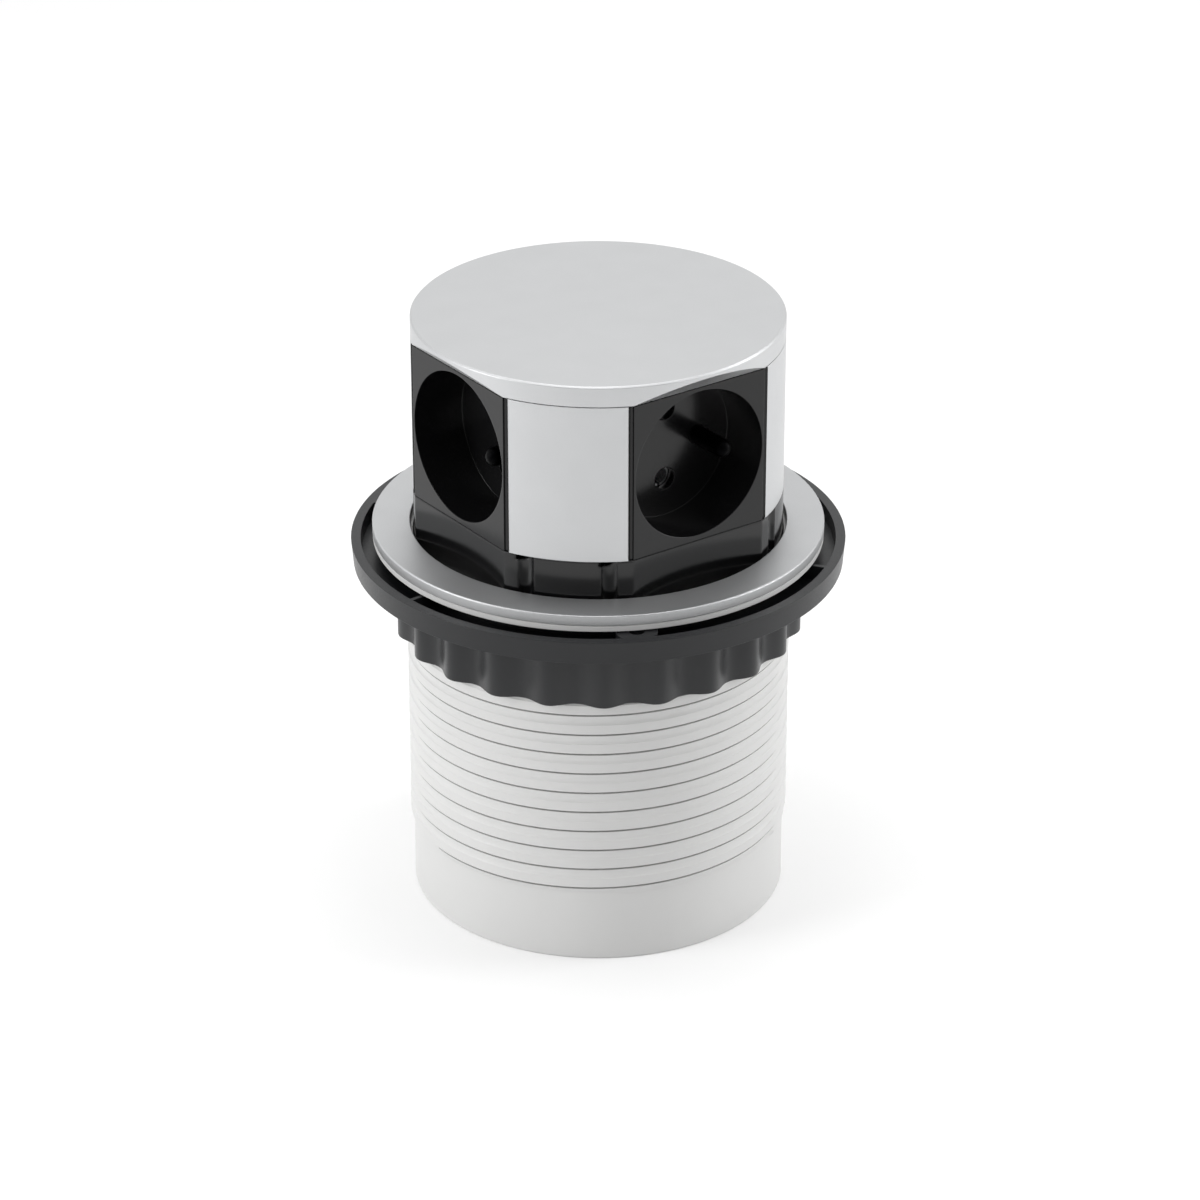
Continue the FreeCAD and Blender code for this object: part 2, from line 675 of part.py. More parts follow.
def make_tower_base():
    """The black base: foot ring, flats, spring cup, tubes for the long screws and four corner posts."""
    foot = rod("Base_foot", cap_radius, foot_height, (0, 0, tower_bottom))
    flats = span_box("Base_flats", (-flat_distance, flat_distance), (-flat_distance, flat_distance),
                     (foot_top - weld, panel_bottom))
    upper = common("Base_upper", rod("Base_round", cap_radius, panel_bottom - foot_top + weld,
                                     (0, 0, foot_top - weld)), flats)
    inside = flat_distance - base_wall
    cavity_top = panel_bottom - top_plate
    round_cavity = rod("Base_cavity_round", cap_radius - base_wall, cavity_top - tower_bottom + overshoot,
                       (0, 0, tower_bottom - overshoot))
    square_cavity = span_box("Base_cavity_square", (-inside, inside), (-inside, inside),
                             (tower_bottom - overshoot, cavity_top))
    cavity = common("Base_cavity", round_cavity, square_cavity)
    shell = cut("Base_shell", fuse("Base_outside", foot, upper), cavity)

    cup = rod("Base_cup", cup_radius + cup_wall, cavity_top - floor_top + weld, (0, 0, floor_top))
    corners = [(tie_reach * x, tie_reach * y) for x, y in QUARTERS]
    tubes = [rod(f"Base_tube{number}", boss_radius, cavity_top - floor_top + weld, (x, y, floor_top))
             for number, (x, y) in enumerate(corners)]
    posts = [make_post(number) for number in range(4)]
    solid = fuse("Base_solid", shell, cup, *tubes)

    bores = [rod(f"Base_bore{number}", tie_radius + screw_clearance, cap_seam - floor_top + overshoot * 2,
                 (x, y, floor_top - overshoot))
             for number, (x, y) in enumerate(corners)]
    spring_bore = rod("Base_spring_bore", cup_radius, cup_depth + overshoot, (0, 0, tower_bottom - overshoot))
    slot = span_box("Base_slot",
                    (-terminal_reach + slot_inset, -terminal_reach + terminal_depth - slot_margin),
                    (terminal_end - terminal_length + slot_margin, terminal_end - slot_margin),
                    (cavity_top - overshoot, panel_bottom + overshoot))
    flutes = []
    for number in range(4):
        cutters = [cutter for side in (-1, 1) for cutter in make_flute(f"Base_flute{number}_{side}", side)]
        pair = fuse(f"Base_flutes{number}", *cutters)
        pair.Placement = Placement(Vector(), Rotation(Vector(0, 0, 1), 90 * number))
        flutes.append(pair)
    shell_cut = cut("Base_fluted", solid, *flutes)
    piece(cut("Tower_base", fuse("Base_whole", shell_cut, *posts), spring_bore, slot, *bores), "tower_base")


def make_post(number):
    """A corner post behind a strip, from the top plate to the cap."""
    name = f"Post{number}"
    near = face_edge + post_inset
    far = flange_front - post_gap
    block = span_box(name + "_block", (near, far), (-far, -near), (panel_bottom - weld, cap_seam))
    curve = rod(name + "_round", strip_inner - strip_gap, panel_height + weld, (0, 0, panel_bottom - weld))
    post = common(name, block, curve)
    post.Placement = Placement(Vector(), Rotation(Vector(0, 0, 1), 90 * number))
    return post


def make_tower_floor():
    """The plate that closes the base, open for the spring, the latch, the cord and the long screws."""
    inside = flat_distance - base_wall - floor_gap
    disc = rod("Floor_round", cap_radius - base_wall - floor_gap, tower_floor_thick, (0, 0, tower_bottom))
    square = span_box("Floor_square", (-inside, inside), (-inside, inside), (tower_bottom, floor_top))
    blank = common("Floor_blank", disc, square)
    reach = latch_plate_half + latch_room_end
    half = claw_width / 2 + claw_side_gap + cheek_thick + latch_room_side
    low, through = tower_bottom - overshoot, tower_floor_thick + overshoot * 2
    tools = [rod("Floor_spring_hole", cup_radius, through, (0, 0, low)),
             span_box("Floor_latch_hole", (-reach, reach), (latch_y - half, latch_y + half),
                      (low, floor_top + overshoot)),
             rod("Floor_cord_hole", cord_hole_radius, through, (gland_x, gland_y, low))]
    for number, (x, y) in enumerate(QUARTERS):
        at = (tie_reach * x, tie_reach * y, low)
        tools.append(rod(f"Floor_tie{number}", tie_radius + screw_clearance, through, at))
        tools.append(rod(f"Floor_head{number}", tie_head_radius + screw_clearance,
                         tie_head_height + overshoot, at))
    piece(cut("Tower_floor", blank, *tools), "tower_floor")


def make_tie_screws():
    """Four long screws from the floor through the base and the posts into the cap."""
    screws = []
    for number, (x, y) in enumerate(QUARTERS):
        at = (tie_reach * x, tie_reach * y)
        shank = rod(f"Tie_shank{number}", tie_radius, cap_seam + tie_bite - tie_end_gap - tower_bottom - weld,
                    (*at, tower_bottom + weld))
        head = rod(f"Tie_head{number}", tie_head_radius, tie_head_height, (*at, tower_bottom))
        slot = span_box(f"Tie_slot{number}", (at[0] - tie_slot_reach, at[0] + tie_slot_reach),
                        (at[1] - tie_slot_half, at[1] + tie_slot_half),
                        (tower_bottom - overshoot, tower_bottom + tie_slot_depth))
        screws.append(cut(f"Tie{number}", fuse(f"Tie_blank{number}", shank, head), slot))
    piece(group("Tie_screws", screws), "tie_screws")


def make_striker():
    """The tee-shaped striker and the bracket that carries it over the floor's opening."""
    top = floor_top + bracket_height
    half = bracket_width / 2
    outer = span_box("Bracket_outer", (-bracket_half, bracket_half), (latch_y - half, latch_y + half),
                     (floor_top, top))
    inner_half = bracket_half - bracket_thick
    inner = span_box("Bracket_inner", (-inner_half, inner_half),
                     (latch_y - half - overshoot, latch_y + half + overshoot),
                     (floor_top - overshoot, top - bracket_thick))
    piece(cut("Bracket", outer, inner), "striker_bracket")

    shoulder = striker_shoulder()
    wide = (latch_y - striker_width / 2, latch_y + striker_width / 2)
    neck = span_box("Striker_neck", (-striker_neck_half, striker_neck_half), wide,
                    (shoulder - weld, top - bracket_thick))
    head = span_box("Striker_head", (-striker_half, striker_half), wide, (shoulder - striker_head, shoulder))
    piece(fuse("Striker", neck, head), "striker")


def striker_shoulder():
    """Height of the striker's shoulder when the tower is up: just under the noses when it is latched down."""
    return claw_pivot_level() + claw_reach() - claw_gap + tower_rise


def claw_pivot_level():
    return cover_top + claw_pivot_lift


def claw_reach():
    """Pivot to the underside of the nose."""
    return claw_body + claw_nose + claw_neck


def make_latch():
    """The latch body on the cover, with two cheeks that hold the claws' pins."""
    half = claw_width / 2 + claw_side_gap
    outside = half + cheek_thick
    plate = span_box("Latch_plate", (-latch_plate_half, latch_plate_half),
                     (latch_y - outside, latch_y + outside), (cover_top, cover_top + latch_plate_thick))
    spans = ((latch_y - outside, latch_y - half), (latch_y + half, latch_y + outside))
    cheeks = [span_box(f"Latch_cheek{number}", (-cheek_half, cheek_half), span,
                       (cover_top, cover_top + cheek_height)) for number, span in enumerate(spans)]
    bores = [rod(f"Latch_bore{side}", claw_pin_radius, (outside + overshoot) * 2,
                 (claw_pivot_x * side, latch_y - outside - overshoot, claw_pivot_level()), "Y")
             for side in (-1, 1)]
    piece(cut("Latch_body", fuse("Latch_blank", plate, *cheeks), *bores), "latch_body")
    for side, label in ((-1, "left"), (1, "right")):
        piece(rod(f"Claw_pin_{label}", claw_pin_radius, outside * 2,
                  (claw_pivot_x * side, latch_y - outside, claw_pivot_level()), "Y"), f"claw_pin_{label}")
        make_claw(side, label)


def make_claw(side, label):
    """A claw modelled closed, then swung open about its pin, as it rests while the tower is up."""
    body = doc.addObject("PartDesign::Body", f"Claw_{label}")
    profile = sketch(body, f"Claw_{label}_profile", "XZ_Plane")
    half = claw_body / 2
    under = claw_reach()
    tip = half + claw_nose
    top = under + claw_nose_height
    corners = [(half, -claw_heel), (half, top - claw_slant), (0.0, top), (-half, top),
               (-tip, under + claw_nose_end), (-tip, under), (-half, under), (-half, -claw_heel)]
    outline(profile, [(as_size(x) * side, y) for x, y in corners])
    blade = body.newObject("PartDesign::Pad", f"Claw_{label}_blade")
    blade.Profile = profile
    blade.SideType = "Symmetric"
    bind(blade, Length=claw_width)
    eye_sketch = sketch(body, f"Claw_{label}_eye_sketch", "XZ_Plane")
    circle(eye_sketch, claw_pin_radius + claw_running_gap)
    eye = body.newObject("PartDesign::Pocket", f"Claw_{label}_eye")
    eye.Profile = eye_sketch
    eye.SideType = "Symmetric"
    bind(eye, Length=claw_width + overshoot * 2)
    body.Tip = eye
    body.Placement = Placement(Vector(), Rotation(Vector(0, 1, 0), claw_swing.value * side))
    body.setExpression("Placement.Rotation.Pitch", (claw_swing * side).text)
    place(body, claw_pivot_x * side, latch_y, claw_pivot_level())
    piece(body, f"claw_{label}")


def make_sleeve():
    """The tube with its collar, the thread's groove cut round it, and a ledge for the cover."""
    ledge_radius = sleeve_bore - ledge_width
    body = revolved("Sleeve", [
        (sleeve_bore, 0.0), (sleeve_radius, 0.0), (sleeve_radius, thread_start),
        (thread_radius, thread_start), (thread_radius, collar_bottom),
        (collar_radius, collar_bottom), (collar_radius, collar_top), (sleeve_bore, collar_top),
        (sleeve_bore, ledge_top), (ledge_radius, ledge_top), (ledge_radius, cover_top),
        (sleeve_bore, cover_top)])
    hole_sketch = sketch(body, "Sleeve_pilot_sketch", "XY_Plane")
    circle(hole_sketch, cover_screw_radius, cover_screw_place, cover_screw_place)
    hole = body.newObject("PartDesign::Pocket", "Sleeve_pilot")
    hole.Profile = hole_sketch
    hole.Reversed = True
    bind(hole, Length=ledge_top + overshoot)
    around(body, "Sleeve_pilots", [hole], 4)

    groove_sketch = sketch(body, "Sleeve_groove_sketch", "XZ_Plane")
    bottom = thread_radius - groove_cut
    outside = thread_radius + groove_cut
    upper, lower = thread_phase, thread_phase - groove_wide
    root_upper = upper - groove_flank
    outline(groove_sketch, [(bottom, root_upper), (bottom, root_upper - groove_root), (thread_radius, lower),
                            (outside, lower), (outside, upper), (thread_radius, upper)])
    groove = body.newObject("PartDesign::SubtractiveHelix", "Sleeve_groove")
    groove.Profile = groove_sketch
    groove.ReferenceAxis = (groove_sketch, ["V_Axis"])
    groove.Mode = 0
    bind(groove, Pitch=thread_pitch, Height=collar_bottom - thread_clear - thread_phase)
    body.Tip = groove
    piece(body, "sleeve")


def make_trim_ring():
    """The flat satin ring on the collar, rounded at its outer edge."""
    bore = cap_radius + ring_bore_gap
    body = revolved("Ring", [(bore, collar_top), (ring_radius, collar_top), (ring_radius, deck_level),
                             (bore, deck_level)])
    doc.recompute()
    outer = edges_where(body.Tip.Shape, lambda edge: is_rim(edge, ring_radius.value, deck_level.value))
    rounded = dress(body, "Fillet", "Ring_edge", body.Tip, outer, ring_edge)
    doc.recompute()
    inner = edges_where(rounded.Shape, lambda edge: is_rim(edge, bore.value, deck_level.value))
    dress(body, "Fillet", "Ring_lip", rounded, inner, ring_lip)
    piece(body, "trim_ring")


def make_shoe(number):
    """A block that fills the space between a flat and the sleeve, over the foot ring."""
    name = f"Shoe{number}"
    low = foot_top + stop_gap
    curve = rod(name + "_round", sleeve_bore, shoe_top - low, (0, 0, low))
    block = span_box(name + "_block", (-shoe_half, shoe_half),
                     (-sleeve_bore - overshoot, -flat_distance - shoe_gap), (low, shoe_top))
    piece(common(name, curve, block), f"guide_shoe_{number}", 90.0 * (number - 1))


def make_cover():
    """The bottom cover with its spring post, ribs and holes, and the screws that hold it."""
    disc = rod("Cover_disc", sleeve_bore - cover_gap, cover_thick, (0, 0, cover_recess))
    post = rod("Cover_post", post_radius, post_height + weld, (0, 0, cover_top - weld))
    ribs = []
    for number in range(3):
        rib = span_box(f"Cover_rib{number}", (-sleeve_bore + rib_end, sleeve_bore - rib_end),
                       (-rib_thick / 2, rib_thick / 2), (cover_recess - rib_height, cover_recess + weld))
        turned = group(f"Cover_rib_turned{number}", [rib])
        turned.Placement = Placement(Vector(), Rotation(Vector(0, 0, 1), cover_rib_phase.value + 60 * number))
        ribs.append(turned)
    hub = rod("Cover_hub", cover_hub_radius, rib_height + weld, (0, 0, cover_recess - rib_height))
    tools = [rod("Cover_bore", post_bore, cover_top + post_height - post_end, (0, 0, 0)),
             rod("Cover_gland_hole", gland_radius, cover_thick + overshoot * 2,
                 (gland_x, gland_y, cover_recess - overshoot)),
             rod("Cover_gland_seat", gland_flange_radius + gland_seat_gap, cover_recess,
                 (gland_x, gland_y, as_size(0)))]
    screws = []
    for number, (x, y) in enumerate(QUARTERS):
        at = (cover_screw_place * x, cover_screw_place * y)
        tools.append(rod(f"Cover_hole{number}", cover_screw_radius + screw_clearance,
                         cover_thick + overshoot * 2, (*at, cover_recess - overshoot)))
        head = rod(f"Cover_screw_head{number}", cover_head_radius, cover_head_height,
                   (*at, cover_recess - cover_head_height))
        shank = rod(f"Cover_screw_shank{number}", cover_screw_radius, cover_screw_length,
                    (*at, cover_recess - overshoot))
        screws.append(fuse(f"Cover_screw{number}", head, shank))
    piece(cut("Cover", fuse("Cover_blank", disc, post, hub, *ribs), *tools), "bottom_cover")
    piece(group("Cover_screws", screws), "cover_screws")


def make_gland():
    """The flanged gland in the cover that the cord comes through, and the nut that holds it."""
    low = cover_recess - gland_flange_thick
    flange = rod("Gland_flange", gland_flange_radius, gland_flange_thick, (gland_x, gland_y, low))
    stem = rod("Gland_stem", gland_radius, cover_thick + gland_length,
               (gland_x, gland_y, cover_recess - weld))
    bore = rod("Gland_bore", gland_bore, cover_top + gland_length + overshoot * 2,
               (gland_x, gland_y, -overshoot))
    piece(cut("Gland", fuse("Gland_blank", flange, stem), bore), "cable_gland")
    hexagon = doc.addObject("Part::Prism", "Gland_nut_hexagon")
    hexagon.Polygon = 6
    bind(hexagon, Circumradius=gland_nut_width / 2 / cosine(as_size(30)), Height=gland_nut_thick)
    place(hexagon, gland_x, gland_y, cover_top)
    hole = rod("Gland_nut_hole", gland_radius, gland_nut_thick + overshoot * 2,
               (gland_x, gland_y, cover_top - overshoot))
    piece(cut("Gland_nut", hexagon, hole), "gland_nut")


def make_spring():
    """The lift spring: a round wire swept along a helix from the cover to the cup's end."""
    bottom = cover_top + spring_wire
    length = tower_bottom + cup_depth - spring_wire - bottom
    helix = doc.addObject("Part::Helix", "Spring_helix")
    bind(helix, Radius=spring_radius, Height=length, Pitch=length / spring_turns)
    place(helix, 0, 0, bottom)
    wire = doc.addObject("Part::Circle", "Spring_wire")
    wire.Placement = Placement(Vector(spring_radius.value, 0, bottom.value), Rotation(Vector(1, 0, 0), 90))
    bind(wire, Radius=spring_wire)
    place(wire, spring_radius, 0, bottom)
    coil = doc.addObject("Part::Sweep", "Lift_spring")
    coil.Sections = [wire]
    coil.Spine = (helix, ["Edge1"])
    coil.Solid = True
    coil.Frenet = True
    piece(coil, "lift_spring")


def make_nut():
    """The clamp nut: rim and dish turned, ribs and screw bosses added, hub scalloped all round."""
    bore = thread_radius + nut_gap
    top = collar_bottom - nut_top_gap
    rim_low = top - rim_height
    low = rim_low - hub_length
    hub_radius = bore + hub_wall
    rim_radius = hub_radius + dish_width
    floor_level = rim_low + dish_floor
    rim_inner = rim_radius - rim_width
    neck = bore + hub_neck_wall
    screw_boss_reach = rim_inner - screw_boss_radius + screw_boss_bite
    body = revolved("Nut", [
        (bore, low), (hub_radius - hub_bevel, low), (hub_radius, low + hub_bevel), (hub_radius, rim_low),
        (rim_radius - rim_draft, rim_low), (rim_radius, top), (rim_inner, top),
        (rim_inner - rim_slope, floor_level), (neck, floor_level), (neck, top), (bore, top)])

    valley = body.newObject("Sketcher::SketchObject", "Nut_valley_sketch")
    valley.AttachmentSupport = [(plane_of(body, "XY_Plane"), "")]
    valley.MapMode = "FlatFace"
    valley.setExpression("AttachmentOffset.Base.z", low.text)
    reach = hub_radius - scallop_depth + scallop_radius
    circle(valley, scallop_radius, cosine(lobe_phase) * reach, sine(lobe_phase) * reach)
    scallop = body.newObject("PartDesign::Pocket", "Nut_valley")
    scallop.Profile = valley
    scallop.Reversed = True
    bind(scallop, Length=hub_length)
    lobes = around(body, "Nut_lobes", [scallop], lobe_count)
    doc.recompute()

    def is_lobe_edge(edge):
        middle = edge.CenterOfMass
        upright = abs(edge.Length - (hub_length - hub_bevel).value) < 0.01
        return upright and abs(math.hypot(middle.x, middle.y) - hub_radius.value) < 0.05

    dress(body, "Fillet", "Nut_lobe_round", lobes, edges_where(lobes.Shape, is_lobe_edge), lobe_round)

    rib_sketch = body.newObject("Sketcher::SketchObject", "Nut_rib_sketch")
    rib_sketch.AttachmentSupport = [(plane_of(body, "XY_Plane"), "")]
    rib_sketch.MapMode = "FlatFace"
    rib_sketch.setExpression("AttachmentOffset.Base.z", (floor_level - weld).text)
    along, across = (cosine(rib_phase), sine(rib_phase)), (-sine(rib_phase), cosine(rib_phase))
    half = nut_rib_thick / 2
    corners = [(neck - weld, -half), (rim_inner + weld, -half), (rim_inner + weld, half), (neck - weld, half)]
    outline(rib_sketch, [(along[0] * radius + across[0] * side, along[1] * radius + across[1] * side)
                         for radius, side in corners])
    rib = body.newObject("PartDesign::Pad", "Nut_rib")
    rib.Profile = rib_sketch
    bind(rib, Length=top - floor_level + weld)
    ribs = around(body, "Nut_ribs", [rib], rib_count)

    boss_sketch = body.newObject("Sketcher::SketchObject", "Nut_boss_sketch")
    boss_sketch.AttachmentSupport = [(plane_of(body, "XY_Plane"), "")]
    boss_sketch.MapMode = "FlatFace"
    boss_sketch.setExpression("AttachmentOffset.Base.z", (floor_level - weld).text)
    x, y = cosine(screw_boss_phase) * screw_boss_reach, sine(screw_boss_phase) * screw_boss_reach
    circle(boss_sketch, screw_boss_radius, x, y)
    boss = body.newObject("PartDesign::Pad", "Nut_boss")
    boss.Profile = boss_sketch
    bind(boss, Length=top - floor_level + weld)
    bosses = around(body, "Nut_bosses", [boss], rib_count)

    hole_sketch = body.newObject("Sketcher::SketchObject", "Nut_hole_sketch")
    hole_sketch.AttachmentSupport = [(plane_of(body, "XY_Plane"), "")]
    hole_sketch.MapMode = "FlatFace"
    hole_sketch.setExpression("AttachmentOffset.Base.z", (rim_low - overshoot).text)
    circle(hole_sketch, screw_boss_bore, x, y)
    hole = body.newObject("PartDesign::Pocket", "Nut_hole")
    hole.Profile = hole_sketch
    hole.Reversed = True
    bind(hole, Length=rim_height + overshoot * 2)
    around(body, "Nut_holes", [hole], rib_count)
    piece(body, "clamp_nut")


def check():
    """Stops on any object that failed and any sub-part without one valid shape."""
    doc.recompute()
    for obj in doc.Objects:
        if "Invalid" in obj.State or "Error" in obj.State:
            raise RuntimeError(f"{obj.Name} ({obj.Label}) failed: {obj.State}")
    for obj in pieces:
        if obj.Shape.isNull() or not obj.Shape.isValid() or not obj.Shape.Solids:
            raise RuntimeError(f"{obj.Label} has no valid solid")


make_cap()
for side in range(1, 5):
    make_strip(side)
    make_insert(side)
    make_earth_pin(side)
    make_contact("line_contact", side, upper_pin)
    make_contact("neutral_contact", side, lower_pin)
    make_shoe(side)
make_busbars()
make_risers()
make_terminals()
make_tower_base()
make_tower_floor()
make_tie_screws()
make_striker()
make_latch()
make_sleeve()
make_trim_ring()
make_cover()
make_gland()
make_spring()
make_nut()
check()

os.makedirs("parts", exist_ok=True)
for obj in pieces:
    obj.Shape.exportStep(f"parts/{obj.Label}.step")
    bounds = obj.Shape.BoundBox
    print(f"{obj.Label}: {len(obj.Shape.Solids)} solid(s), {obj.Shape.Volume:.0f} mm3, "
          f"z {bounds.ZMin:.2f} to {bounds.ZMax:.2f}, x {bounds.XMin:.2f} to {bounds.XMax:.2f}, "
          f"y {bounds.YMin:.2f} to {bounds.YMax:.2f}")
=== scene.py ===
import json
import math

import bmesh
import bpy
import numpy as np
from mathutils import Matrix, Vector


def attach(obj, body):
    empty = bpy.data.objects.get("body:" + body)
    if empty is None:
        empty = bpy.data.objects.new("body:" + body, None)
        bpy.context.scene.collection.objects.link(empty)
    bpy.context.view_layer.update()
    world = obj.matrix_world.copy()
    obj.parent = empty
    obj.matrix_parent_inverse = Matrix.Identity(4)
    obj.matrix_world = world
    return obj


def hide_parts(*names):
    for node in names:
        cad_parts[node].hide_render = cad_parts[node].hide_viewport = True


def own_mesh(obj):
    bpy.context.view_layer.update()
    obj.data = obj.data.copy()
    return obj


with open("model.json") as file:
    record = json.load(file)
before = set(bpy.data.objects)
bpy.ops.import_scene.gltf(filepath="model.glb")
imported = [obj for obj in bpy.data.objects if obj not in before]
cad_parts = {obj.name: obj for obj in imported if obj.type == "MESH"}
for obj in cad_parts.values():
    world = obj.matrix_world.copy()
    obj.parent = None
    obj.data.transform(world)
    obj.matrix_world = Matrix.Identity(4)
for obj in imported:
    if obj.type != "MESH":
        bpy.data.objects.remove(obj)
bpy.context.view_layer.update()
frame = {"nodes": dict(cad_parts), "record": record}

MM = 0.001
nodes = frame["nodes"]

# Camera, as the photograph was taken: its distance in metres, and the lengths below it in mm
AZIMUTH = math.radians(-35.6)
ELEVATION = math.radians(26.48)
CAMERA_DISTANCE = 1.1875
SIDE_SHIFT = 0.45
MIDDLE_HEIGHT = 78.55
FOCAL_LENGTH = 138.0
SENSOR_WIDTH = 36.0

# The tower's flat faces stand this far from its axis, in mm
FLAT = 42.8


def linear(hex_colour):
    """Turns an sRGB hex colour into linear red, green, blue and alpha."""
    parts = [int(hex_colour[at:at + 2], 16) / 255 for at in (1, 3, 5)]
    return [part / 12.92 if part <= 0.04045 else ((part + 0.055) / 1.055) ** 2.4 for part in parts] + [1.0]


def per_metre(size_mm):
    """Texture scale that gives features of a real size in millimetres."""
    return 1000.0 / size_mm


def add(tree, kind, inputs=None, **settings):
    """Adds a node, sets its properties, and fills its sockets with values or with (node, socket) links."""
    made = tree.nodes.new(kind)
    for name, value in settings.items():
        setattr(made, name, value)
    for socket, value in (inputs or {}).items():
        if isinstance(value, tuple) and isinstance(value[0], bpy.types.Node):
            tree.links.new(value[0].outputs[value[1]], made.inputs[socket])
        else:
            made.inputs[socket].default_value = value
    return made


def new_material(name):
    """An empty node material, its tree, and the object's own coordinates in metres."""
    made = bpy.data.materials.new(name)
    made.use_nodes = True
    tree = made.node_tree
    tree.nodes.clear()
    place = add(tree, "ShaderNodeTexCoord")
    return made, tree, (place, "Object")


# Sockets of the colour mix node, which has several of each name
FIRST_COLOUR, SECOND_COLOUR, MIXED_COLOUR = 6, 7, 2

# The range that most of a noise's values lie in
NOISE_LOW, NOISE_HIGH = 0.3, 0.7


def blasted_anodised_aluminium():
    """Cap and strips: turned aluminium, bead-blasted fine and clear anodised, so the grey is even and silky. The
    blasting's pits are finer than the 0.3 mm they are drawn at, so that they show."""
    made, tree, place = new_material("blasted_anodised_aluminium")
    cloud = add(tree, "ShaderNodeTexNoise", {"Vector": place, "Scale": per_metre(9.0), "Detail": 3.0})
    grain = add(tree, "ShaderNodeTexNoise", {"Vector": place, "Scale": per_metre(0.3)})
    tone = add(tree, "ShaderNodeMix", {"Factor": (cloud, "Fac"), FIRST_COLOUR: linear("#C4C5C6"),
                                       SECOND_COLOUR: linear("#C9CACB")}, data_type="RGBA")
    rough = add(tree, "ShaderNodeMapRange", {"Value": (grain, "Fac"), "From Min": NOISE_LOW, "From Max": NOISE_HIGH,
                                             "To Min": 0.36, "To Max": 0.44})
    edge = add(tree, "ShaderNodeBevel", {"Radius": 0.25 * MM})
    bump = add(tree, "ShaderNodeBump", {"Height": (grain, "Fac"), "Distance": 0.01 * MM, "Strength": 0.25,
                                        "Normal": (edge, "Normal")})
    shader = add(tree, "ShaderNodeBsdfPrincipled", {"Metallic": 1.0, "Base Color": (tone, MIXED_COLOUR),
                                                    "Roughness": (rough, "Result"), "Normal": (bump, "Normal")})
    add(tree, "ShaderNodeOutputMaterial", {"Surface": (shader, "BSDF")})
    return made


def blasted_nickel():
    """Trim ring: die-cast zinc, shot-blasted and nickel-plated. The blasting's pits are finer than the 0.4 mm
    they are drawn at, so that the grain shows at the photograph's size."""
    made, tree, place = new_material("shot_blasted_nickel")
    grain = add(tree, "ShaderNodeTexNoise", {"Vector": place, "Scale": per_metre(0.4), "Detail": 3.0,
                                             "Roughness": 0.6})
    cloud = add(tree, "ShaderNodeTexNoise", {"Vector": place, "Scale": per_metre(12.0)})
    tone = add(tree, "ShaderNodeMix", {"Factor": (cloud, "Fac"), FIRST_COLOUR: linear("#BDBEBF"),
                                       SECOND_COLOUR: linear("#C5C6C7")}, data_type="RGBA")
    rough = add(tree, "ShaderNodeMapRange", {"Value": (grain, "Fac"), "From Min": NOISE_LOW, "From Max": NOISE_HIGH,
                                             "To Min": 0.42, "To Max": 0.55})
    edge = add(tree, "ShaderNodeBevel", {"Radius": 0.2 * MM})
    bump = add(tree, "ShaderNodeBump", {"Height": (grain, "Fac"), "Distance": 0.03 * MM, "Strength": 0.6,
                                        "Normal": (edge, "Normal")})
    shader = add(tree, "ShaderNodeBsdfPrincipled", {"Metallic": 1.0, "Base Color": (tone, MIXED_COLOUR),
                                                    "Roughness": (rough, "Result"), "Normal": (bump, "Normal")})
    add(tree, "ShaderNodeOutputMaterial", {"Surface": (shader, "BSDF")})
    return made


def glossy_black_polycarbonate():
    """Tower base: black polycarbonate from a polished tool, so it shines and shows the room in soft-edged
    streaks, and its wide walls draw in a few hundredths of a millimetre as they cool. The polish's own grain is
    drawn coarser than it is, at 0.4 mm."""
    made, tree, place = new_material("glossy_black_polycarbonate")
    cloud = add(tree, "ShaderNodeTexNoise", {"Vector": place, "Scale": per_metre(14.0)})
    swell = add(tree, "ShaderNodeTexNoise", {"Vector": place, "Scale": per_metre(11.0), "Detail": 1.0})
    grain = add(tree, "ShaderNodeTexNoise", {"Vector": place, "Scale": per_metre(0.4)})
    tone = add(tree, "ShaderNodeMix", {"Factor": (cloud, "Fac"), FIRST_COLOUR: linear("#0A0A0B"),
                                       SECOND_COLOUR: linear("#0E0E0F")}, data_type="RGBA")
    rough = add(tree, "ShaderNodeMapRange", {"Value": (grain, "Fac"), "From Min": NOISE_LOW, "From Max": NOISE_HIGH,
                                             "To Min": 0.14, "To Max": 0.2})
    edge = add(tree, "ShaderNodeBevel", {"Radius": 0.9 * MM})
    wave = add(tree, "ShaderNodeBump", {"Height": (swell, "Fac"), "Distance": 0.05 * MM, "Strength": 0.6,
                                        "Normal": (edge, "Normal")})
    bump = add(tree, "ShaderNodeBump", {"Height": (grain, "Fac"), "Distance": 0.01 * MM, "Strength": 0.1,
                                        "Normal": (wave, "Normal")})
    shader = add(tree, "ShaderNodeBsdfPrincipled", {"IOR": 1.5, "Base Color": (tone, MIXED_COLOUR),
                                                    "Roughness": (rough, "Result"), "Normal": (bump, "Normal")})
    add(tree, "ShaderNodeOutputMaterial", {"Surface": (shader, "BSDF")})
    return made


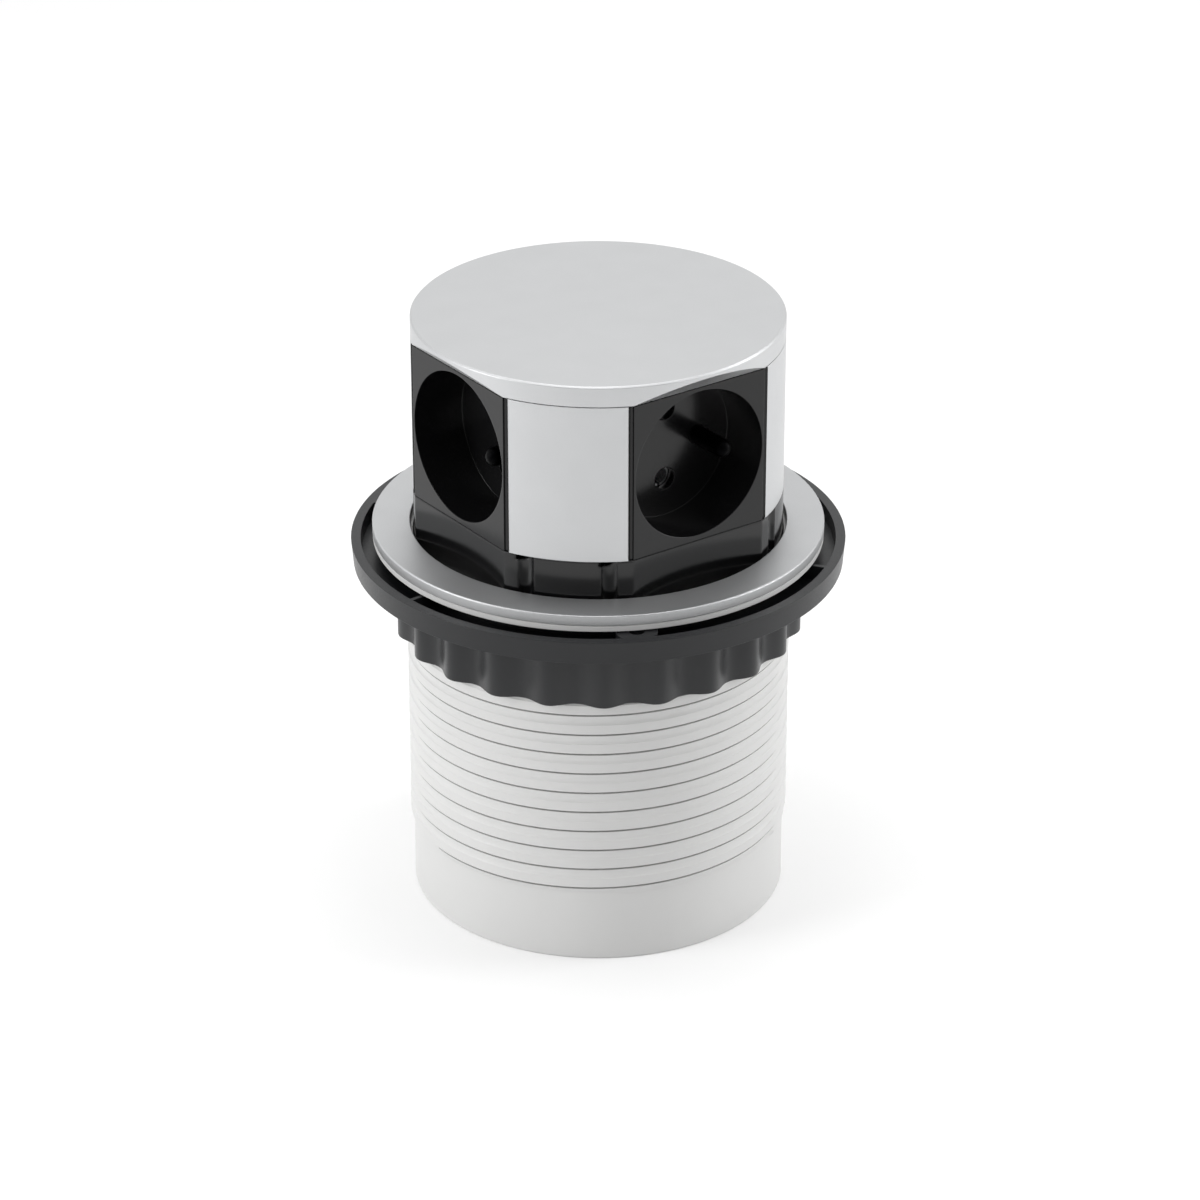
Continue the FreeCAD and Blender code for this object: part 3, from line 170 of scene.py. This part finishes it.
def grained_black_plastic(name, dark, pale, smoothest, roughest, grain_mm, bump_strength):
    """Socket faces, nut and gland: black plastic from a spark-eroded tool, which leaves a fine even grain and a
    half-matt face, with faint cloudy flow in the colour. The real grain is under 0.1 mm and is drawn coarser, so
    that it shows."""
    made, tree, place = new_material(name)
    cloud = add(tree, "ShaderNodeTexNoise", {"Vector": place, "Scale": per_metre(14.0)})
    grain = add(tree, "ShaderNodeTexNoise", {"Vector": place, "Scale": per_metre(grain_mm)})
    tone = add(tree, "ShaderNodeMix", {"Factor": (cloud, "Fac"), FIRST_COLOUR: linear(dark),
                                       SECOND_COLOUR: linear(pale)}, data_type="RGBA")
    rough = add(tree, "ShaderNodeMapRange", {"Value": (grain, "Fac"), "From Min": NOISE_LOW, "From Max": NOISE_HIGH,
                                             "To Min": smoothest, "To Max": roughest})
    edge = add(tree, "ShaderNodeBevel", {"Radius": 0.3 * MM})
    bump = add(tree, "ShaderNodeBump", {"Height": (grain, "Fac"), "Distance": 0.02 * MM,
                                        "Strength": bump_strength, "Normal": (edge, "Normal")})
    shader = add(tree, "ShaderNodeBsdfPrincipled", {
        "IOR": 1.48, "Specular IOR Level": 0.42, "Base Color": (tone, MIXED_COLOUR),
        "Roughness": (rough, "Result"), "Normal": (bump, "Normal")})
    add(tree, "ShaderNodeOutputMaterial", {"Surface": (shader, "BSDF")})
    return made


def moulded_grey():
    """Sleeve, shoes and cover: light grey polypropylene with a smooth satin face and faint flow clouds. Painted
    shade, a darker grey laid into the thread's inner corners where ambient occlusion finds them, draws the fine
    dark line along each turn. The grain is drawn coarser than it is, at 0.5 mm."""
    made, tree, place = new_material("moulded_grey_polypropylene")
    cloud = add(tree, "ShaderNodeTexNoise", {"Vector": place, "Scale": per_metre(16.0), "Detail": 3.0})
    grain = add(tree, "ShaderNodeTexNoise", {"Vector": place, "Scale": per_metre(0.5)})
    tone = add(tree, "ShaderNodeMix", {"Factor": (cloud, "Fac"), FIRST_COLOUR: linear("#DEDEDD"),
                                       SECOND_COLOUR: linear("#E3E3E2")}, data_type="RGBA")
    # painted shade: where ambient occlusion within 0.8 mm finds the thread's inner corners, the grey turns to a darker
    # grey that stands in for the groove's shadow
    open_sky = add(tree, "ShaderNodeAmbientOcclusion", {"Distance": 0.8 * MM}, samples=8, only_local=True)
    unshaded_share = add(tree, "ShaderNodeMapRange", {"Value": (open_sky, "AO"), "From Min": 0.15, "From Max": 0.6})
    painted_groove_shade = add(tree, "ShaderNodeMix", {"Factor": (unshaded_share, "Result"), FIRST_COLOUR: linear("#7C7C7A"),
                                        SECOND_COLOUR: (tone, MIXED_COLOUR)}, data_type="RGBA")
    rough = add(tree, "ShaderNodeMapRange", {"Value": (grain, "Fac"), "From Min": NOISE_LOW, "From Max": NOISE_HIGH,
                                             "To Min": 0.44, "To Max": 0.52})
    bump = add(tree, "ShaderNodeBump", {"Height": (grain, "Fac"), "Distance": 0.01 * MM, "Strength": 0.2})
    shader = add(tree, "ShaderNodeBsdfPrincipled", {"IOR": 1.49, "Base Color": (painted_groove_shade, MIXED_COLOUR),
                                                    "Roughness": (rough, "Result"), "Normal": (bump, "Normal")})
    add(tree, "ShaderNodeOutputMaterial", {"Surface": (shader, "BSDF")})
    return made


def rolled_strip(name, dark, pale):
    """Contacts and busbars: brass strip, rolled and stamped, so fine lines run along it and its colour is a
    little dulled in patches. The contacts are tin-plated over it. The rolling lines are drawn coarser than they
    are."""
    made, tree, place = new_material(name)
    along = add(tree, "ShaderNodeMapping", {"Vector": place, "Scale": (1.0, 1.0, 12.0)})
    lines = add(tree, "ShaderNodeTexNoise", {"Vector": (along, "Vector"), "Scale": per_metre(1.2), "Detail": 3.0})
    tarnish = add(tree, "ShaderNodeTexNoise", {"Vector": place, "Scale": per_metre(5.0), "Detail": 3.0})
    tone = add(tree, "ShaderNodeMix", {"Factor": (tarnish, "Fac"), FIRST_COLOUR: linear(dark),
                                       SECOND_COLOUR: linear(pale)}, data_type="RGBA")
    rough = add(tree, "ShaderNodeMapRange", {"Value": (lines, "Fac"), "From Min": NOISE_LOW, "From Max": NOISE_HIGH,
                                             "To Min": 0.22, "To Max": 0.4})
    bump = add(tree, "ShaderNodeBump", {"Height": (lines, "Fac"), "Distance": 0.01 * MM, "Strength": 0.2})
    shader = add(tree, "ShaderNodeBsdfPrincipled", {"Metallic": 1.0, "Base Color": (tone, MIXED_COLOUR),
                                                    "Roughness": (rough, "Result"), "Normal": (bump, "Normal")})
    add(tree, "ShaderNodeOutputMaterial", {"Surface": (shader, "BSDF")})
    return made


def clouded_metal(name, dark, pale, size_mm, smoothest, roughest):
    """Plated steel and wire: zinc passivated in pale clouds, black nickel over turned brass, or the grey skin of
    hard-drawn wire. The cloud sets the colour and how sharp the shine is."""
    made, tree, place = new_material(name)
    cloud = add(tree, "ShaderNodeTexNoise", {"Vector": place, "Scale": per_metre(size_mm), "Detail": 4.0,
                                             "Roughness": 0.6})
    tone = add(tree, "ShaderNodeMix", {"Factor": (cloud, "Fac"), FIRST_COLOUR: linear(dark),
                                       SECOND_COLOUR: linear(pale)}, data_type="RGBA")
    rough = add(tree, "ShaderNodeMapRange", {"Value": (cloud, "Fac"), "From Min": NOISE_LOW, "From Max": NOISE_HIGH,
                                             "To Min": smoothest, "To Max": roughest})
    bump = add(tree, "ShaderNodeBump", {"Height": (cloud, "Fac"), "Distance": 0.01 * MM, "Strength": 0.2})
    shader = add(tree, "ShaderNodeBsdfPrincipled", {"Metallic": 1.0, "Base Color": (tone, MIXED_COLOUR),
                                                    "Roughness": (rough, "Result"), "Normal": (bump, "Normal")})
    add(tree, "ShaderNodeOutputMaterial", {"Surface": (shader, "BSDF")})
    return made


def moulded_pale(name, dark, pale):
    """Terminal block and latch body: unfilled nylon or acetal, pale, waxy and a little see-through at the edges.
    The grain is drawn coarser than it is, at 0.5 mm."""
    made, tree, place = new_material(name)
    cloud = add(tree, "ShaderNodeTexNoise", {"Vector": place, "Scale": per_metre(6.0)})
    grain = add(tree, "ShaderNodeTexNoise", {"Vector": place, "Scale": per_metre(0.5)})
    tone = add(tree, "ShaderNodeMix", {"Factor": (cloud, "Fac"), FIRST_COLOUR: linear(dark),
                                       SECOND_COLOUR: linear(pale)}, data_type="RGBA")
    rough = add(tree, "ShaderNodeMapRange", {"Value": (grain, "Fac"), "From Min": NOISE_LOW, "From Max": NOISE_HIGH,
                                             "To Min": 0.38, "To Max": 0.46})
    bump = add(tree, "ShaderNodeBump", {"Height": (grain, "Fac"), "Distance": 0.01 * MM, "Strength": 0.2})
    shader = add(tree, "ShaderNodeBsdfPrincipled", {
        "IOR": 1.5, "Subsurface Weight": 0.15, "Subsurface Radius": (0.002, 0.0018, 0.0015),
        "Base Color": (tone, MIXED_COLOUR), "Roughness": (rough, "Result"), "Normal": (bump, "Normal")})
    add(tree, "ShaderNodeOutputMaterial", {"Surface": (shader, "BSDF")})
    return made


finishes = {
    "satin_aluminium": blasted_anodised_aluminium(),
    "ring_metal": blasted_nickel(),
    "black_plastic": grained_black_plastic("grained_black_polycarbonate", "#0E0E0F", "#121213", 0.15, 0.22, 0.3, 0.15),
    "nut_plastic": grained_black_plastic("black_glass_filled_nylon", "#18191B", "#1F2022", 0.32, 0.4, 0.45, 0.4),
    "gland_plastic": grained_black_plastic("moulded_black_nylon", "#1F1F20", "#262627", 0.34, 0.42, 0.4, 0.3),
    "grey_plastic": moulded_grey(),
    "pin_metal": clouded_metal("black_nickel_plate", "#060607", "#0A0A0B", 0.4, 0.42, 0.52),
    "brass": rolled_strip("stamped_brass", "#C9A76A", "#E6CE9A"),
    "terminal_plastic": moulded_pale("moulded_ivory_nylon", "#D8D5CA", "#E0DDD3"),
    "screw_steel": clouded_metal("zinc_plated_steel", "#B9BCC2", "#D2D3D3", 3.0, 0.28, 0.45),
    "spring_steel": clouded_metal("drawn_spring_steel", "#7E8084", "#9A9C9F", 0.5, 0.3, 0.42),
    "latch_plastic": moulded_pale("moulded_natural_acetal", "#D9D9D5", "#E2E2DE"),
}
glossy_black = glossy_black_polycarbonate()
tin_plate = rolled_strip("tin_plated_brass", "#DCDDDE", "#ECECED")

for subpart in frame["record"]["subparts"]:
    node = subpart["node"]
    finish = finishes[subpart["material_slot"]]
    if node == "tower_base":
        finish = glossy_black
    if "contact" in node:
        finish = tin_plate
    surface = nodes[node].data
    surface.materials.clear()
    surface.materials.append(finish)


# Points closer than MERGE, in metres, are one point, and edges that turn less than SMOOTH_BELOW are shaded smooth
MERGE = 2e-6
SHORTEST_EDGE = 1e-6
SMOOTH_BELOW = math.radians(35.0)


def build_mesh(name, points, faces, finish):
    """A mesh object at the origin from points in mm and faces, merged where points meet, facing outwards."""
    mesh = bpy.data.meshes.new(name)
    mesh.from_pydata((points * MM).tolist(), [], faces)
    work = bmesh.new()
    work.from_mesh(mesh)
    bmesh.ops.remove_doubles(work, verts=work.verts, dist=MERGE)
    bmesh.ops.dissolve_degenerate(work, edges=work.edges, dist=SHORTEST_EDGE)
    bmesh.ops.recalc_face_normals(work, faces=work.faces)
    work.to_mesh(mesh)
    work.free()
    mesh.shade_smooth()
    mesh.set_sharp_from_angle(angle=SMOOTH_BELOW)
    mesh.materials.append(finishes[finish])
    made = bpy.data.objects.new(name, mesh)
    bpy.context.scene.collection.objects.link(made)
    return made


def ring_quads(rings, columns):
    """Corner numbers of the quads between neighbouring closed rings of points."""
    row = np.arange(rings - 1)[:, None] * columns
    here = np.arange(columns)[None]
    after = (here + 1) % columns
    return np.stack([row + here, row + after, row + columns + after, row + columns + here], axis=2).reshape(-1, 4)


def turned(profile, columns, wave=0.0):
    """Points of a profile (radius, height, share of the wave) in mm turned about Z, with a wave in mm for each
    column added to the radius."""
    radius, height, share = np.array(profile, float).T[:, :, None]
    angle = np.arange(columns) * 2 * np.pi / columns
    radius = radius + share * wave
    return np.stack([radius * np.cos(angle), radius * np.sin(angle), height + 0 * angle], axis=2).reshape(-1, 3)


# The sleeve, in mm
SLEEVE_BORE = 47.5
LEDGE_RADIUS, LEDGE_LOW, LEDGE_TOP = 42.75, 6.0, 9.0
BAND_RADIUS = 48.45
BAND_TOP = 10.0         # the plain band and the strip that carries the thread meet here
CREST_RADIUS = 49.3
THREAD_START = 19.95
THREAD_PITCH = 5.5
GROOVE_LOW = 15.05      # height of the groove's lower edge where it begins, towards +X
GROOVE_TURNS = 14.36
COLLAR_LOW = 98.4
COLLAR_TOP = 100.2
COLLAR_RADIUS = 57.7
# one pitch, from the groove's lower edge: height above it and radius
GROOVE_PROFILE = [(0.0, 49.2), (0.3, 49.0), (1.2, 48.95), (2.2, 48.95), (2.26, 48.1), (2.8, 48.1),
                  (2.83, 49.22), (2.87, 49.3)]
CREST_LOW, CREST_HIGH = 2.9, 5.36
FIRST_TURN, LAST_TURN = -2, 17
THREAD_COLUMNS = 256
FADE_TURNS = 20 / 360


def make_threaded_sleeve():
    """The sleeve with its thread. The outer face is one strip that climbs by a pitch a turn: height = groove's
    start + pitch * (turn + angle / full circle) + height in the profile, and radius = crest less the profile's
    depth, which fades in and out where the groove ends. Below the thread's start it is cut to the band's radius,
    and two rows in the crest hold that step."""
    # the rows of noughts are the step's, and get their height and radius below
    steps = np.array(GROOVE_PROFILE + [(0.0, 0.0), (0.0, 0.0), (CREST_HIGH + 0.02, CREST_RADIUS)])
    count = len(steps)
    index = np.arange((LAST_TURN - FIRST_TURN) * count)[:, None]
    kind = index % count
    share = np.arange(THREAD_COLUMNS + 1)[None] / THREAD_COLUMNS
    progress = FIRST_TURN + index // count + share
    base = GROOVE_LOW + THREAD_PITCH * progress
    fade = np.clip(progress / FADE_TURNS, 0, 1) * np.clip((GROOVE_TURNS - progress) / FADE_TURNS, 0, 1)
    radius = CREST_RADIUS - (CREST_RADIUS - steps[kind, 1]) * fade
    height = base + steps[kind, 0]
    radius = np.where(height < THREAD_START, np.minimum(radius, BAND_RADIUS), radius)

    low, high = base + CREST_LOW, base + CREST_HIGH
    step_kind = len(GROOVE_PROFILE)
    in_step = (kind == step_kind) | (kind == step_kind + 1)
    height = np.where(in_step, np.clip(THREAD_START, low, high), height)
    under = np.where(THREAD_START < low, CREST_RADIUS, BAND_RADIUS)
    over = np.where(THREAD_START > high, BAND_RADIUS, CREST_RADIUS)
    radius = np.where(kind == step_kind, under, np.where(kind == step_kind + 1, over, radius))

    height = np.clip(height, BAND_TOP, COLLAR_LOW)
    angle = share * 2 * np.pi
    points = np.stack([radius * np.cos(angle), radius * np.sin(angle), height], axis=2).reshape(-1, 3)
    row = index[:-1] * (THREAD_COLUMNS + 1)
    here = np.arange(THREAD_COLUMNS)[None]
    quads = np.stack([row + here, row + here + 1, row + here + THREAD_COLUMNS + 2, row + here + THREAD_COLUMNS + 1],
                     axis=2).reshape(-1, 4)

    # the rest of the outline, down the band, up the bore past its ledge, and round the collar
    rest = [(BAND_RADIUS, BAND_TOP), (BAND_RADIUS, 0.35), (BAND_RADIUS - 0.3, 0.0), (SLEEVE_BORE + 0.2, 0.0),
            (SLEEVE_BORE, 0.2), (SLEEVE_BORE, LEDGE_LOW), (LEDGE_RADIUS, LEDGE_LOW), (LEDGE_RADIUS, LEDGE_TOP),
            (SLEEVE_BORE, LEDGE_TOP), (SLEEVE_BORE, 50.0), (SLEEVE_BORE, COLLAR_TOP),
            (COLLAR_RADIUS - 0.35, COLLAR_TOP), (COLLAR_RADIUS, COLLAR_TOP - 0.3),
            (COLLAR_RADIUS, COLLAR_LOW + 0.25), (COLLAR_RADIUS - 0.25, COLLAR_LOW), (CREST_RADIUS, COLLAR_LOW)]
    more = turned([(*corner, 0.0) for corner in rest], THREAD_COLUMNS)
    faces = np.concatenate([quads, ring_quads(len(rest), THREAD_COLUMNS) + len(points)]).tolist()
    piece = build_mesh("threaded_sleeve", np.concatenate([points, more]), faces, "grey_plastic")
    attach(piece, "housing")
    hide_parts("sleeve")


def make_lobed_grip():
    """The nut's grip, a skin over its hub. Radius = middle + swing * cosine(lobes * (angle - first peak)), with
    the lower edge rounded over."""
    lobes, first_peak, columns_a_lobe = 23, math.radians(1.26), 20
    middle, swing = 51.43, 1.23
    inside, low, high = 49.6, 74.45, 92.35
    columns = lobes * columns_a_lobe
    wave = swing * np.cos(lobes * (np.arange(columns) * 2 * np.pi / columns - first_peak))
    profile = [(inside, low, 0), (middle - 0.4, low, 1), (middle - 0.12, low + 0.1, 1), (middle, low + 0.38, 1),
               (middle, high, 1), (inside, high, 0), (inside, low, 0)]
    piece = build_mesh("nut_grip", turned(profile, columns, wave), ring_quads(len(profile), columns).tolist(),
                       "nut_plastic")
    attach(piece, "clamp")


def make_groove_beds():
    """The hollow bed of each upright groove beside a strip, eight in all. Depth below the flat face = rise +
    hollow * sine(half a circle * share of the groove's width), and the bed's back is flat. The photograph shows
    the grooves dark grey, and the depth that gives this is a guess."""
    near, far, low, high = 19.92, 21.08, 112.65, 153.75
    rise, hollow, back = 0.35, 0.45, 2.48
    share = np.linspace(0, 1, 13)
    across = np.concatenate([near + (far - near) * share, [far, near]])
    depth = np.concatenate([rise + hollow * np.sin(np.pi * share), [back, back]])
    outward = FLAT - depth

    # one axis each for the groove's side, the quarter turn, the bottom or top, and the corner
    mirror = np.array([-1, 1])[:, None, None, None]
    turn = np.radians(90 * np.arange(4))[:, None, None]
    level = np.array([low, high])[:, None]
    x = mirror * across * np.cos(turn) + outward * np.sin(turn)
    y = mirror * across * np.sin(turn) - outward * np.cos(turn)
    points = np.stack(np.broadcast_arrays(x, y, level), axis=4).reshape(-1, 3)

    corners = len(across)
    start = np.arange(0, len(points), 2 * corners)[:, None]
    walls = (start[:, :, None] + ring_quads(2, corners)).reshape(-1, 4)
    ends = np.concatenate([start, start + corners]) + np.arange(corners)
    piece = build_mesh("groove_beds", points, walls.tolist() + ends.tolist(), "black_plastic")
    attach(piece, "tower")


def make_coil():
    """The lift spring. The wire's middle runs round a circle while it climbs, close-wound for a turn at each end
    and evenly between, and a small circle square to the wire is carried along it."""
    coil_radius, wire, low, high = 9.0, 0.8, 6.0, 103.8
    dead, free = 1.1, 9.0
    close_pitch = wire * 2.02
    steps, corners = 900, 14
    turns = dead * 2 + free
    turn = np.linspace(0, turns, steps)
    dead_rise = wire + dead * close_pitch
    rise = np.interp(turn, [0, dead, dead + free, turns], [low + wire, low + dead_rise, high - dead_rise, high - wire])
    slope = np.gradient(rise, turn) / (2 * np.pi * coil_radius)
    angle = turn * 2 * np.pi
    outward = np.stack([np.cos(angle), np.sin(angle), np.zeros_like(angle)], axis=1)
    along = np.stack([-np.sin(angle), np.cos(angle), slope], axis=1)
    along /= np.linalg.norm(along, axis=1)[:, None]
    across = np.cross(outward, along)
    middle = outward * coil_radius + np.stack([0 * rise, 0 * rise, rise], axis=1)
    round_angle = np.arange(corners)[None, :, None] * 2 * np.pi / corners
    ring = (outward[:, None] * np.cos(round_angle) + across[:, None] * np.sin(round_angle)) * wire
    points = (middle[:, None] + ring).reshape(-1, 3)
    quads = ring_quads(len(turn), corners)
    ends = [list(range(corners)), list(range(len(points) - corners, len(points)))]
    piece = build_mesh("spring_coil", points, quads.tolist() + ends, "spring_steel")
    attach(piece, "housing")
    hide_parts("lift_spring")
    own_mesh(piece)


make_threaded_sleeve()
make_lobed_grip()
make_groove_beds()
make_coil()


def make_camera():
    """The camera at the photograph's angle and distance, aimed a little to the side of the tower's axis."""
    side = Vector((math.cos(AZIMUTH), math.sin(AZIMUTH), 0))
    back = Vector((math.sin(AZIMUTH) * math.cos(ELEVATION), -math.cos(AZIMUTH) * math.cos(ELEVATION),
                   math.sin(ELEVATION)))
    target = Vector((0, 0, MIDDLE_HEIGHT * MM)) + side * (SIDE_SHIFT * MM)
    lens = bpy.data.cameras.new("photo_camera")
    lens.lens = FOCAL_LENGTH
    lens.sensor_width = SENSOR_WIDTH
    lens.clip_start = 0.05
    camera = bpy.data.objects.new("photo_camera", lens)
    camera.location = target + back * CAMERA_DISTANCE
    camera.rotation_euler = (-back).to_track_quat("-Z", "Y").to_euler()
    bpy.context.scene.collection.objects.link(camera)
    bpy.context.scene.camera = camera


LAMP_AIM = Vector((0, 0, 0.08))


def softbox(name, at, width, height, power):
    """A square-cornered studio lamp that faces the object."""
    light = bpy.data.lights.new(name, "AREA")
    light.shape = "RECTANGLE"
    light.size = width
    light.size_y = height
    light.energy = power
    made = bpy.data.objects.new(name, light)
    made.location = at
    made.rotation_euler = (LAMP_AIM - Vector(at)).to_track_quat("-Z", "Y").to_euler()
    bpy.context.scene.collection.objects.link(made)


WHITE = (1, 1, 1, 1)


def make_world():
    """White surroundings, and a dim room on the camera's side, which dark glossy faces show. The camera itself
    sees white all round."""
    world = bpy.data.worlds.new("studio")
    bpy.context.scene.world = world
    world.use_nodes = True
    sky = world.node_tree
    sky.nodes.clear()
    way = add(sky, "ShaderNodeTexCoord")
    room = (math.sin(AZIMUTH), -math.cos(AZIMUTH), 0.0)
    towards = add(sky, "ShaderNodeVectorMath", {0: (way, "Generated"), 1: room}, operation="DOT_PRODUCT")
    dim = add(sky, "ShaderNodeMapRange", {"Value": (towards, "Value"), "From Min": 0.25, "From Max": 0.9,
                                          "To Min": 1.0, "To Max": 0.2}, interpolation_type="SMOOTHSTEP")
    lit = add(sky, "ShaderNodeMath", {0: (dim, "Result"), 1: 0.45, 2: 0.27}, operation="MULTIPLY_ADD")
    ray = add(sky, "ShaderNodeLightPath")
    reflected = add(sky, "ShaderNodeMath", {0: (ray, "Is Glossy Ray"), 1: (ray, "Is Transmission Ray")},
                    operation="MAXIMUM")
    light = add(sky, "ShaderNodeBackground", {"Color": WHITE, "Strength": (lit, 0)})
    mirrored = add(sky, "ShaderNodeBackground", {"Color": WHITE, "Strength": (dim, "Result")})
    white = add(sky, "ShaderNodeBackground", {"Color": WHITE, "Strength": 1.0})
    both = add(sky, "ShaderNodeMixShader", {0: (reflected, 0), 1: (light, 0), 2: (mirrored, 0)})
    chosen = add(sky, "ShaderNodeMixShader", {0: (ray, "Is Camera Ray"), 1: (both, 0), 2: (white, 0)})
    add(sky, "ShaderNodeOutputWorld", {"Surface": (chosen, 0)})


def make_floor():
    """A wide white floor. For the camera and in reflections a glow lifts it to white, and its shadow stays. Beyond
    the lamps' reach both show it as white as the world."""
    mesh = bpy.data.meshes.new("floor")
    reach, low = 12.0, -0.00005
    mesh.from_pydata([(-reach, -reach, low), (reach, -reach, low), (reach, reach, low), (-reach, reach, low)], [],
                     [(0, 1, 2, 3)])
    made = bpy.data.objects.new("floor", mesh)
    bpy.context.scene.collection.objects.link(made)
    paper = bpy.data.materials.new("white_studio_paper")
    paper.use_nodes = True
    tree = paper.node_tree
    tree.nodes.clear()
    ray = add(tree, "ShaderNodeLightPath")
    direct = add(tree, "ShaderNodeMath", {0: (ray, "Is Camera Ray"), 1: (ray, "Is Glossy Ray")}, operation="MAXIMUM")
    seen = add(tree, "ShaderNodeMath", {0: (direct, 0), 1: (ray, "Is Transmission Ray")}, operation="MAXIMUM")
    matt = add(tree, "ShaderNodeBsdfDiffuse", {"Color": linear("#DCDCDC")})
    lift = add(tree, "ShaderNodeEmission", {"Color": WHITE, "Strength": 0.28})
    both = add(tree, "ShaderNodeAddShader", {0: (matt, 0), 1: (lift, 0)})
    chosen = add(tree, "ShaderNodeMixShader", {0: (seen, 0), 1: (matt, 0), 2: (both, 0)})
    way = add(tree, "ShaderNodeTexCoord")
    away = add(tree, "ShaderNodeVectorMath", {0: (way, "Object")}, operation="LENGTH")
    beyond = add(tree, "ShaderNodeMapRange", {"Value": (away, "Value"), "From Min": 0.7, "From Max": 1.3})
    faded = add(tree, "ShaderNodeMath", {0: (beyond, "Result"), 1: (seen, 0)}, operation="MULTIPLY")
    white = add(tree, "ShaderNodeEmission", {"Color": WHITE, "Strength": 1.0})
    shown = add(tree, "ShaderNodeMixShader", {0: (faded, 0), 1: (chosen, 0), 2: (white, 0)})
    add(tree, "ShaderNodeOutputMaterial", {"Surface": (shown, 0)})
    mesh.materials.append(paper)


make_camera()
softbox("overhead", at=(0.0, 0.05, 1.1), width=0.9, height=0.9, power=5.0)
softbox("left", at=(-1.15, 0.35, 0.5), width=0.5, height=0.9, power=6.2)
softbox("right", at=(1.05, -0.55, 0.5), width=0.5, height=0.9, power=5.4)
make_world()
make_floor()
bpy.context.scene.view_settings.view_transform = "Standard"
